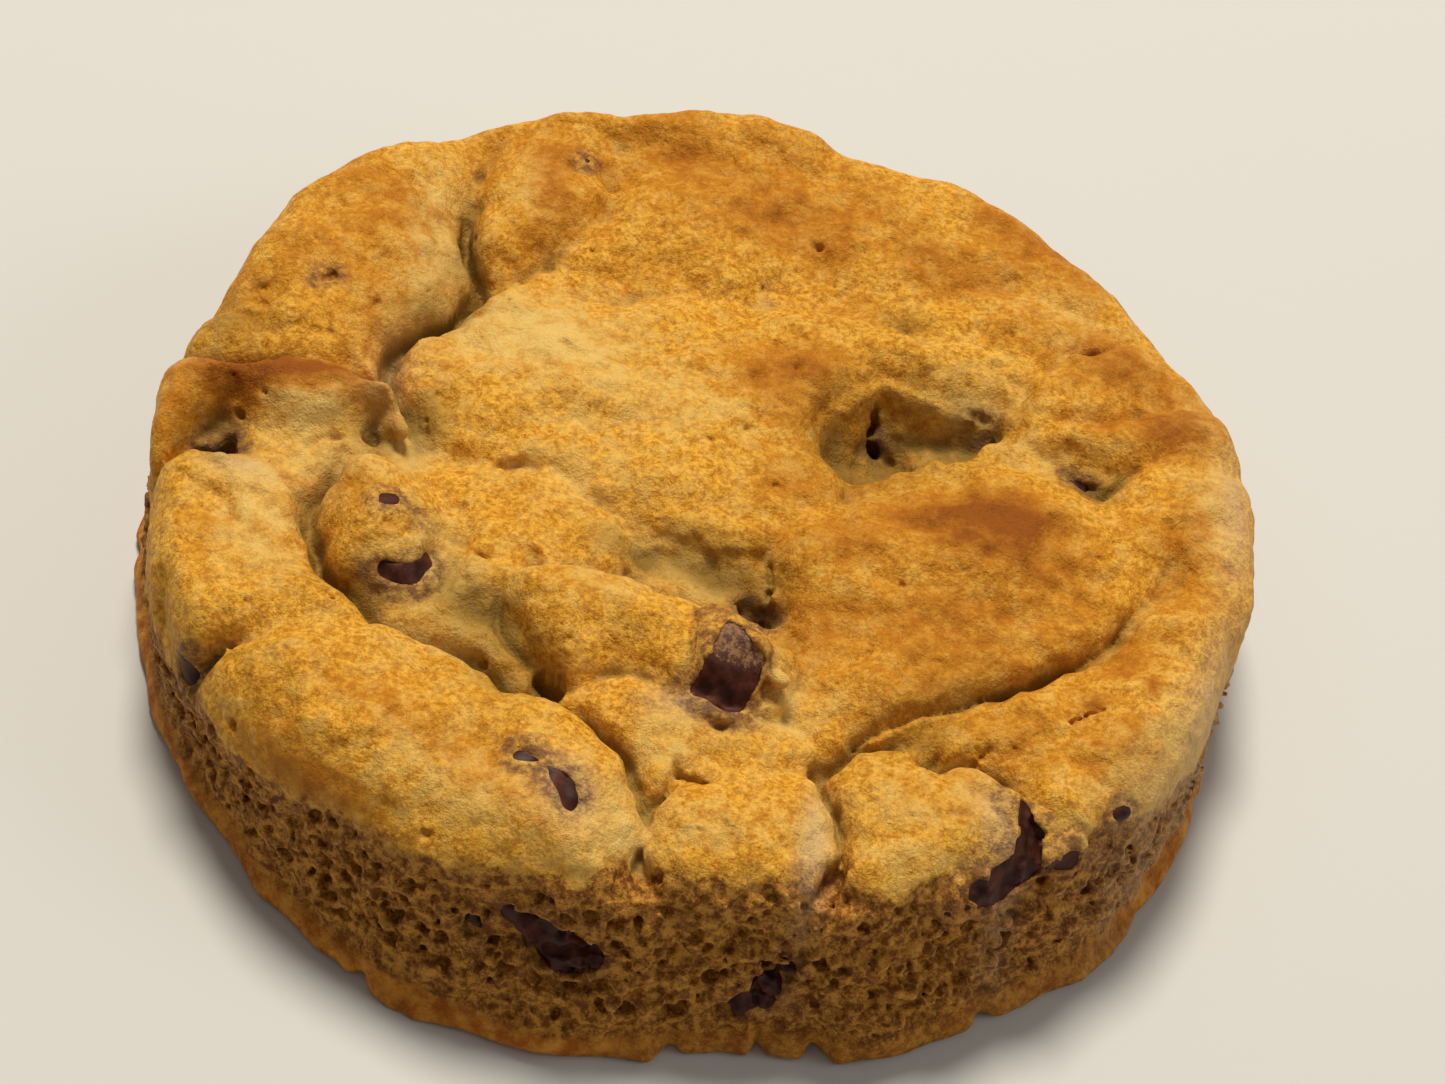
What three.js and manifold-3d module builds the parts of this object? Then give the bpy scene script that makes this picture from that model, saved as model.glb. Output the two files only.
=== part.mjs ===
// Thick round cookie: one baked dough body with separate chocolate chips set in open sockets.
// Millimetres, +Z up, resting on its flat base at z = 0, centred on the origin.
import * as THREE from 'three';
import { mergeVertices } from 'three/addons/utils/BufferGeometryUtils.js';
import Module from 'manifold-3d';

// ---------------------------------------------------------------- mesh fineness
const GRID = 38;            // cells across the top
const CHIP_SIDES = 12;      // facets around a chip

// ---------------------------------------------------------------- dough body
const PLATEAU_Z = 17.2;     // height of the top between its lobes, at the rim
const DOME_RISE = 1.6;      // extra height of the plateau at the centre
const RIM_ROUND = 6.0;      // rounding from the top over to the wall
const FLARE = 1.4;          // how far the wall leans out between foot and rim
const FOOT_Z = 4.0;         // height of the smooth foot around the base
const FOOT_LIP = 1.5;       // how far the foot stands out from the wall above it
const BASE_BEVEL = 1.3;     // inset of the flat base under the foot
const BEVEL_Z = 0.7;        // height of that bevel
const WALL_STEPS = [-1, 0, BEVEL_Z, 2.0, 3.2, 4.6, 7.5];   // wall rows; the one under 0 is trimmed off

// Radius of the rim in equal steps from +X towards +Y.
const OUTLINE = [50.7, 51.0, 49.2, 50.4, 50.9, 50.6, 52.0, 51.2, 49.6,
                 50.6, 50.3, 49.6, 50.0, 50.4, 50.2, 50.5, 50.9, 50.1];

// Places where the foot is broken away: direction, depth inwards and half width in degrees.
const FOOT_NOTCHES = [
  { deg: 244, depth: 1.6, half: 2.5 },
  { deg: 275, depth: 4.0, half: 4.5 },
  { deg: 289, depth: 4.2, half: 5.0 },
  { deg: 304, depth: 1.8, half: 3.0 },
];

// Rounded dough lobes on the top: centre, half lengths, turn from +X, rise above the plateau.
const LOBES = {
  backLeftRim: { at: [-38, 21], half: [21, 12], turn: 112, rise: 3.8 },
  backKnob: { at: [-20, 36], half: [13, 8.5], turn: 100, rise: 3.0 },
  backRim: { at: [6, 41], half: [25, 11], turn: -4, rise: 2.8 },
  backRightRim: { at: [30, 28], half: [16, 10.5], turn: -48, rise: 2.7 },
  rightKnob: { at: [36, 20], half: [10, 6], turn: 52, rise: 3.1 },
  rightFold: { at: [44, 10], half: [13, 7.5], turn: 100, rise: 2.6 },
  brownMound: { at: [24, -1], half: [16, 11], turn: -14, rise: 4.2 },
  centreDome: { at: [-8, 6], half: [26, 14], turn: -14, rise: 3.2 },
  chipLump: { at: [-27, -11], half: [10, 8.5], turn: 80, rise: 5.2 },
  leftRidge: { at: [-39, 2], half: [13, 7], turn: 10, rise: 4.8 },
  leftRim: { at: [-40, -15], half: [13, 8.5], turn: 105, rise: 3.4 },
  frontLeftRim: { at: [-22, -33], half: [24, 11], turn: -30, rise: 4.6 },
  frontMound: { at: [-5, -19], half: [13, 10], turn: -35, rise: 3.9 },
  frontStep: { at: [3, -28], half: [14, 7.5], turn: -14, rise: 3.0 },
  frontDisc: { at: [8, -38], half: [9.5, 9.5], turn: 0, rise: 3.4 },
  frontRightLobe: { at: [21, -35], half: [10.5, 10], turn: 0, rise: 3.5 },
  rightPlateau: { at: [28, -12], half: [17, 10], turn: 42, rise: 2.4 },
  frontRightRim: { at: [38, -21], half: [21, 9.5], turn: 58, rise: 3.0 },
};

// Creases where two lobes meet: the line along the bottom, its depth and half width.
const CREASES = {
  backLeft: {
    depth: 3.0,
    half: 3.4,
    path: [[-26, 42], [-26, 33], [-24.5, 23], [-29, 15], [-30.5, 8], [-29, 1]],
  },
  back: { depth: 1.2, half: 2.8, path: [[-12.5, 46], [-13.5, 37], [-16, 30], [-21, 26]] },
  backInner: { depth: 1.1, half: 3.2, path: [[6, 34], [10, 30], [16, 27], [22, 31]] },
  rightKnob: { depth: 1.4, half: 2.8, path: [[26, 18], [31, 22], [36, 25], [41, 25]] },
  rightFold: { depth: 1.4, half: 2.6, path: [[30, 12], [36, 9], [40, 14], [46, 15]] },
  frontLeft: {
    depth: 2.6,
    half: 3.2,
    path: [[-33, -4], [-34, -11], [-32, -16], [-27, -20], [-20, -22], [-13, -25], [-7, -29], [-1, -35]],
  },
  leftSplit: { depth: 1.2, half: 2.6, path: [[-27, -20], [-33, -22], [-38, -25], [-42, -29]] },
  frontSplit: { depth: 1.6, half: 2.6, path: [[14, -44], [15, -36], [14, -30], [17, -26], [22, -25]] },
  frontRight: { depth: 1.3, half: 2.4, path: [[22, -25], [31, -18], [38, -12], [43, -5], [45, 2]] },
  middle: { depth: 1.8, half: 3.2, path: [[-6, -8], [0, -10], [6, -12], [11, -14]] },
};

// Hollows in the top: centre, half lengths, turn and depth.
const HOLLOWS = {
  crater: { at: [18, 10.5], half: [10.5, 6.8], turn: 15, depth: 4.6 },
  leftPocket: { at: [-43, -3], half: [4, 3.4], turn: 0, depth: 3.4 },
  rightNotch: { at: [35, 8], half: [4.5, 3], turn: -20, depth: 2.4 },
  domePocket: { at: [-28.5, 2], half: [3.6, 4.5], turn: 0, depth: 2.2 },
  frontDimple: { at: [8, -24], half: [4.5, 3.4], turn: 0, depth: 1.4 },
  leftSaddle: { at: [-46, 8], half: [4.5, 4], turn: 0, depth: 2.0 },
};

// ---------------------------------------------------------------- chocolate chips
const CHIP_ASPECT = 0.68;     // height of a chip over its diameter
const CLEARANCE = 0.35;       // gap between a chip and its socket
const MOUTH_REACH = 9;        // length of the opening that shows a chip through the skin

// Half outline of a chip of diameter 1 and height 1: flat base, round shoulder, soft tip.
const CHIP_OUTLINE = [[0, -0.5], [0.40, -0.5], [0.49, -0.40], [0.49, -0.26], [0.38, -0.02],
                      [0.24, 0.22], [0.10, 0.42], [0, 0.5]];

// Each chip: centre, diameter, direction of its tip, then direction and radius of its mouth.
const CHIPS = {
  chip_lump: { at: [-26.5, -12, 17], size: 10.5, tip: [0.2, 0.9, 0.5], out: [0.4, -0.7, 0.6], mouth: 2.2 },
  chip_mound: { at: [4.6, -21.5, 17.6], size: 10, tip: [0.1, 1, 0.35], out: [0.1, -0.1, 1], mouth: 3 },
  chip_front_left: { at: [-9, -35, 15.6], size: 9.5, tip: [1, 0.2, 0.2], out: [0.1, -0.3, 1], mouth: 1.8 },
  chip_front_right: { at: [27.6, -33.6, 16], size: 10.5, tip: [-1, 1, 1], out: [0.5, -0.6, 0.7], mouth: 4 },
  chip_shoulder: { at: [35.8, -32.2, 17], size: 4.6, tip: [-6, 7, 2], out: [0.7, -0.6, 0.6], mouth: 1.4 },
  chip_wall_front: { at: [-5.2, -46.4, 14.6], size: 9.5, tip: [0.2, 1, 0.2], out: [0, -1, 0.1], mouth: 3 },
  chip_wall_low: { at: [10.8, -46.4, 10.6], size: 7.5, tip: [-0.2, 1, -0.3], out: [0.2, -1, 0], mouth: 2.2 },
  chip_pocket: { at: [-43, -3, 13.4], size: 8, tip: [0.3, 0, 1], out: [0, -0.1, 1], mouth: 1.8 },
  chip_left: { at: [-38.2, -27, 15.4], size: 8.5, tip: [0.8, 0.6, 0], out: [-0.8, -0.6, 0.4], mouth: 2 },
  chip_crater: { at: [15, 12.5, 10.6], size: 8.5, tip: [0, 0.5, 1], out: [0, -0.1, 1], mouth: 2 },
  chip_crater_edge: { at: [24.5, 16.5, 13], size: 8, tip: [0.2, 0.6, 1], out: [0, -0.2, 1], mouth: 1.8 },
  chip_recess: { at: [6.8, -10.2, 12], size: 8, tip: [0, 0.4, 1], out: [0, -0.2, 1], mouth: 1.6 },
  chip_back_left: { at: [-38, 16.5, 16.2], size: 9, tip: [0, -0.3, 1], out: [0, -0.1, 1], mouth: 1.2 },
  chip_back: { at: [-16, 40.2, 15.6], size: 8.5, tip: [0, -0.2, 1], out: [0, 0, 1], mouth: 1.2 },
  chip_notch: { at: [34.4, 9.5, 12.6], size: 7.5, tip: [0, 0.3, 1], out: [0, -0.1, 1], mouth: 1.4 },
  chip_right: { at: [37.2, -28.4, 11], size: 8, tip: [-0.8, 0.6, 0], out: [0.8, -0.6, 0.1], mouth: 1.6 },
  chip_wall_left: { at: [-17, -43.4, 11.4], size: 6.5, tip: [0.3, 1, 0], out: [-0.3, -1, 0.1], mouth: 1.6 },
  chip_rear_a: { at: [17.5, 44.6, 10.5], size: 9, tip: [-0.4, -1, 0], out: [0.4, 1, 0], mouth: 2.4 },
  chip_rear_b: { at: [-30.5, 37.4, 8.5], size: 8.5, tip: [0.6, -0.8, 0.2], out: [-0.6, 0.8, 0], mouth: 2 },
  chip_rear_c: { at: [46.8, 10.5, 9], size: 8.5, tip: [-1, -0.2, 0], out: [1, 0.2, 0], mouth: 2.2 },
  chip_under_a: { at: [-16, 12, 3.1], size: 8.5, tip: [0, 0, 1], out: [0, 0, -1], mouth: 2.6 },
  chip_under_b: { at: [21, -14, 3.1], size: 8.5, tip: [0, 0, 1], out: [0, 0, -1], mouth: 2.4 },
  chip_under_c: { at: [6, 30, 3.1], size: 8, tip: [0, 0, 1], out: [0, 0, -1], mouth: 2.2 },
};

const DOUGH = new THREE.MeshStandardMaterial({ color: 0xc9924a, roughness: 0.85, metalness: 0 });
const CHOCOLATE = new THREE.MeshStandardMaterial({ color: 0x3a1d14, roughness: 0.35, metalness: 0 });

const wasm = await Module();
wasm.setup();

// ---------------------------------------------------------------- shape functions
const DEG = Math.PI / 180;

// Radius of the rim in a direction, smoothly joined through the listed values.
function rimRadius(angle) {
  const count = OUTLINE.length;
  const step = THREE.MathUtils.euclideanModulo(angle * count / (2 * Math.PI), count);
  const low = Math.floor(step) % count;
  const blend = (1 - Math.cos((step - low) * Math.PI)) / 2;
  return OUTLINE[low] * (1 - blend) + OUTLINE[(low + 1) % count] * blend;
}

// Squared distance from a shape's centre in half lengths: 0 at the centre, 1 on its edge.
function ellipseReach(shape, x, y) {
  const turn = shape.turn * DEG;
  const dx = x - shape.at[0];
  const dy = y - shape.at[1];
  const along = (dx * Math.cos(turn) + dy * Math.sin(turn)) / shape.half[0];
  const across = (dy * Math.cos(turn) - dx * Math.sin(turn)) / shape.half[1];
  return along * along + across * across;
}

// Full in the middle, falling ever more steeply to nothing at the edge.
function pillow(reach) {
  return Math.max(0, 1 - reach * reach);
}

// Smooth dip: 1 at the centre, 0 with no slope at the edge.
function dip(reach) {
  return reach >= 1 ? 0 : (1 - reach) * (1 - reach);
}

function distanceToPath(path, x, y) {
  const point = new THREE.Vector3(x, y, 0);
  const nearest = new THREE.Vector3();
  const line = new THREE.Line3();
  let best = Infinity;
  for (let i = 1; i < path.length; i++) {
    line.start.set(path[i - 1][0], path[i - 1][1], 0);
    line.end.set(path[i][0], path[i][1], 0);
    line.closestPointToPoint(point, true, nearest);
    best = Math.min(best, nearest.distanceTo(point));
  }
  return best;
}

// Height of the top surface before its rim is rounded over.
function topHeight(x, y) {
  const r = Math.hypot(x, y) / OUTLINE[0];
  let raised = 0;
  for (const lobe of Object.values(LOBES)) {
    raised += Math.pow(lobe.rise * pillow(ellipseReach(lobe, x, y)), 4);
  }
  let z = PLATEAU_Z + DOME_RISE * (1 - r * r) + Math.pow(raised, 0.25);
  for (const crease of Object.values(CREASES)) {
    const reach = distanceToPath(crease.path, x, y) / crease.half;
    z -= crease.depth * dip(reach * reach);
  }
  for (const hollow of Object.values(HOLLOWS)) {
    z -= hollow.depth * dip(ellipseReach(hollow, x, y));
  }
  return z;
}

// How far the foot is broken away in a direction, near the base only.
function notchDepth(angle, z) {
  let depth = 0;
  for (const notch of FOOT_NOTCHES) {
    const off = THREE.MathUtils.euclideanModulo(angle / DEG - notch.deg + 180, 360) - 180;
    depth = Math.max(depth, notch.depth * dip(Math.pow(off / notch.half, 2)));
  }
  return depth * THREE.MathUtils.clamp(1 - z / (FOOT_Z + 1), 0, 1);
}

// Radius of the wall at a height: bevelled base, standing foot, then a wall that flares out.
function wallRadius(angle, z) {
  const shoulder = PLATEAU_Z - RIM_ROUND;
  const lean = FLARE * (1 - THREE.MathUtils.clamp(z / shoulder, 0, 1));
  const bevel = BASE_BEVEL * THREE.MathUtils.clamp(1 - z / BEVEL_Z, 0, 1);
  let lip = 0;
  if (z > 0 && z < FOOT_Z) {
    lip = FOOT_LIP * Math.sin(Math.PI * z / FOOT_Z);
  }
  return rimRadius(angle) - lean + lip - bevel - notchDepth(angle, z);
}

// ---------------------------------------------------------------- dough surface
// A point of the square as a direction and a share of the radius: square rings become round ones.
function squareToDisc(u, v) {
  const share = Math.max(Math.abs(u), Math.abs(v));
  if (share === 0) {
    return { angle: 0, share };
  }
  if (Math.abs(u) >= Math.abs(v)) {
    return { angle: (v / u) * Math.PI / 4 + (u < 0 ? Math.PI : 0), share };
  }
  return { angle: Math.PI / 2 - (u / v) * Math.PI / 4 + (v < 0 ? Math.PI : 0), share };
}

// A point of the top: equal steps over the flat part and around the rounded rim.
function topPoint(angle, share) {
  const flat = rimRadius(angle) - RIM_ROUND;
  const travel = share * (flat + RIM_ROUND * Math.PI / 2);
  const turn = Math.max(0, (travel - flat) / RIM_ROUND);
  const r = turn > 0 ? flat + RIM_ROUND * Math.sin(turn) : travel;
  const x = r * Math.cos(angle);
  const y = r * Math.sin(angle);
  return [x, y, topHeight(x, y) - RIM_ROUND * (1 - Math.cos(turn))];
}

// A point of the wall or, with a share below 1, of the base under it.
function wallPoint(angle, row, share) {
  if (row === WALL_STEPS.length) {
    return topPoint(angle, share);
  }
  const z = WALL_STEPS[row];
  const r = share * wallRadius(angle, z);
  return [r * Math.cos(angle), r * Math.sin(angle), z];
}

// The dough starts as a gridded box whose faces become the top, the wall and the base.
function doughGeometry() {
  const rows = WALL_STEPS.length;
  const geometry = new THREE.BoxGeometry(2, 2, 2, GRID, GRID, rows);
  const points = geometry.attributes.position;
  for (let i = 0; i < points.count; i++) {
    const u = Math.round((points.getX(i) + 1) * GRID / 2) * 2 / GRID - 1;
    const v = Math.round((points.getY(i) + 1) * GRID / 2) * 2 / GRID - 1;
    const row = Math.round((points.getZ(i) + 1) * rows / 2);
    const { angle, share } = squareToDisc(u, v);
    points.setXYZ(i, ...wallPoint(angle, row, share));
  }
  return geometry;
}

// ---------------------------------------------------------------- chips, sockets, mouths
function chipGeometry(chip, scale) {
  const width = chip.size * scale;
  const profile = CHIP_OUTLINE.map(([r, z]) => new THREE.Vector2(r * width, z * width * CHIP_ASPECT));
  return aim(new THREE.LatheGeometry(profile, CHIP_SIDES), chip.tip, chip.at);
}

// A round-ended cutter from the chip's middle out through the skin.
function mouthGeometry(chip) {
  const geometry = new THREE.CapsuleGeometry(chip.mouth, MOUTH_REACH, 4, 12);
  geometry.translate(0, MOUTH_REACH / 2, 0);
  return aim(geometry, chip.out, chip.at);
}

// Turn a shape made along +Y to a direction and move it into place.
function aim(geometry, direction, at) {
  const to = new THREE.Vector3(...direction).normalize();
  geometry.applyQuaternion(new THREE.Quaternion().setFromUnitVectors(new THREE.Vector3(0, 1, 0), to));
  geometry.translate(...at);
  return geometry;
}

// ---------------------------------------------------------------- solids and meshes
function toSolid(geometry) {
  geometry.deleteAttribute('normal');
  geometry.deleteAttribute('uv');
  const closed = mergeVertices(geometry, 1e-3);
  const vertProperties = new Float32Array(closed.attributes.position.array);
  const triVerts = new Uint32Array(closed.index.array);
  return new wasm.Manifold(new wasm.Mesh({ numProp: 3, vertProperties, triVerts }));
}

function toMesh(solid, name, material) {
  const { vertProperties, triVerts } = solid.getMesh();
  const geometry = new THREE.BufferGeometry();
  geometry.setAttribute('position', new THREE.BufferAttribute(new Float32Array(vertProperties), 3));
  geometry.setIndex(new THREE.BufferAttribute(new Uint32Array(triVerts), 1));
  geometry.computeVertexNormals();
  const mesh = new THREE.Mesh(geometry, material.clone());
  mesh.name = name;
  return mesh;
}

// The dough with its base trimmed flat and a socket and a mouth cut for every chip.
function doughSolid() {
  const below = new THREE.BoxGeometry(200, 200, 20).translate(0, 0, -10);
  let dough = toSolid(doughGeometry()).subtract(toSolid(below));
  for (const chip of Object.values(CHIPS)) {
    const socketScale = 1 + 2 * CLEARANCE / (chip.size * CHIP_ASPECT);
    dough = dough.subtract(toSolid(chipGeometry(chip, socketScale)));
    dough = dough.subtract(toSolid(mouthGeometry(chip)));
  }
  return dough;
}

// ---------------------------------------------------------------- assembly
const cookie = new THREE.Group();
cookie.name = 'cookie';
cookie.add(toMesh(doughSolid(), 'dough', DOUGH));
for (const [name, chip] of Object.entries(CHIPS)) {
  cookie.add(toMesh(toSolid(chipGeometry(chip, 1)), name, CHOCOLATE));
}

// Centre the whole cookie over the origin, with its base on z = 0.
const box = new THREE.Box3().setFromObject(cookie);
const middle = box.getCenter(new THREE.Vector3());
for (const mesh of cookie.children) {
  mesh.geometry.translate(-middle.x, -middle.y, -box.min.z);
}

export default cookie;
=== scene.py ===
import math
from collections import namedtuple
import bpy
import numpy as np
import openvdb as vdb
from mathutils import Matrix, Vector


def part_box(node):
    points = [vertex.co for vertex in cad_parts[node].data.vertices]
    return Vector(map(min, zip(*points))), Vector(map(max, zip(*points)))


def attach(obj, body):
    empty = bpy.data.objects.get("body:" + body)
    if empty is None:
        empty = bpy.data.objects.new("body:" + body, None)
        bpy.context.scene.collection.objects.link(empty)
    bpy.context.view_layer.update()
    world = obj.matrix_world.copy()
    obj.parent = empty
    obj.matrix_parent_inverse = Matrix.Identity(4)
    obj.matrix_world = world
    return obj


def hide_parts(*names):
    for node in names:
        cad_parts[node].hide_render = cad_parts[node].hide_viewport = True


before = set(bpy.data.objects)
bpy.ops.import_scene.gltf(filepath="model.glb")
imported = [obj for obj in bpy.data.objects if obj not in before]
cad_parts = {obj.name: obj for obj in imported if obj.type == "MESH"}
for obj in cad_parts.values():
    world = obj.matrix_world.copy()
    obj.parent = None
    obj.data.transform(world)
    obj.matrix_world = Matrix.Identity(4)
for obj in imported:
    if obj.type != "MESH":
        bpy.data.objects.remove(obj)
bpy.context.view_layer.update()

# ---------------------------------------------------------------- sizes, in millimetres
MM = 0.001
VOXEL = 0.3  # grid step of the dough field
REACH = 55.0                        # half width of the field
TOP = 26.5                          # upper end of the field
BOTTOM = -1.6                       # lower end of the field

PLATEAU_Z = 17.4                    # top surface between its lobes
RIM_ROUND = 4.5                     # rounding from the top over to the wall
GROW = 0.45                         # how far each lobe spreads past its outline, into its neighbours
FOOT_Z = 2.6                        # height of the smooth foot
FOOT_LIP = 0.9                      # how far the foot stands out from the wall over it
WALL_TOP_Z = 15.0                   # height where the wall is widest
WALL_INNER = 40.0                   # radius that the wall never comes inside of
LOBE_LOW_Z = 9                      # height that no lobe or crater reaches down to

# Radii in equal steps from +X towards +Y: of the rim, and of the foot.
OUTLINE = [50.4, 51.6, 51.4, 52.0, 50.4, 50.8, 52.2, 51.9, 51.0,
           49.8, 49.6, 48.6, 47.4, 45.8, 44.8, 46.2, 48.8, 50.2]
FOOT_OUTLINE = [50.8, 50.4, 49.4, 50.0, 50.4, 50.2, 51.0, 50.6, 50.2,
                52.0, 50.6, 49.3, 50.1, 50.4, 48.2, 50.3, 51.2, 51.2]
# Height where the closed crust of the top gives way to open crumb, in the same steps.
CRUST_EDGE = [9.0, 10.0, 12.0, 15.0, 15.0, 15.0, 15.0, 15.0, 14.0,
              12.5, 11.5, 13.2, 16.0, 17.6, 18.4, 17.8, 16.8, 12.5]

# Places where the foot is broken away: direction in degrees, depth, half width in degrees.
FOOT_NOTCHES = [(243.5, 1.0, 1.0), (275.4, 1.5, 1.1), (284.6, 1.3, 0.7),
                (290.4, 2.4, 1.0), (308, 1.3, 1.2), (60, 1.4, 2.0),
                (130, 1.8, 2.5), (182, 0.8, 1.5), (12, 1.2, 1.8), (345, 0.8, 1.5)]

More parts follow.
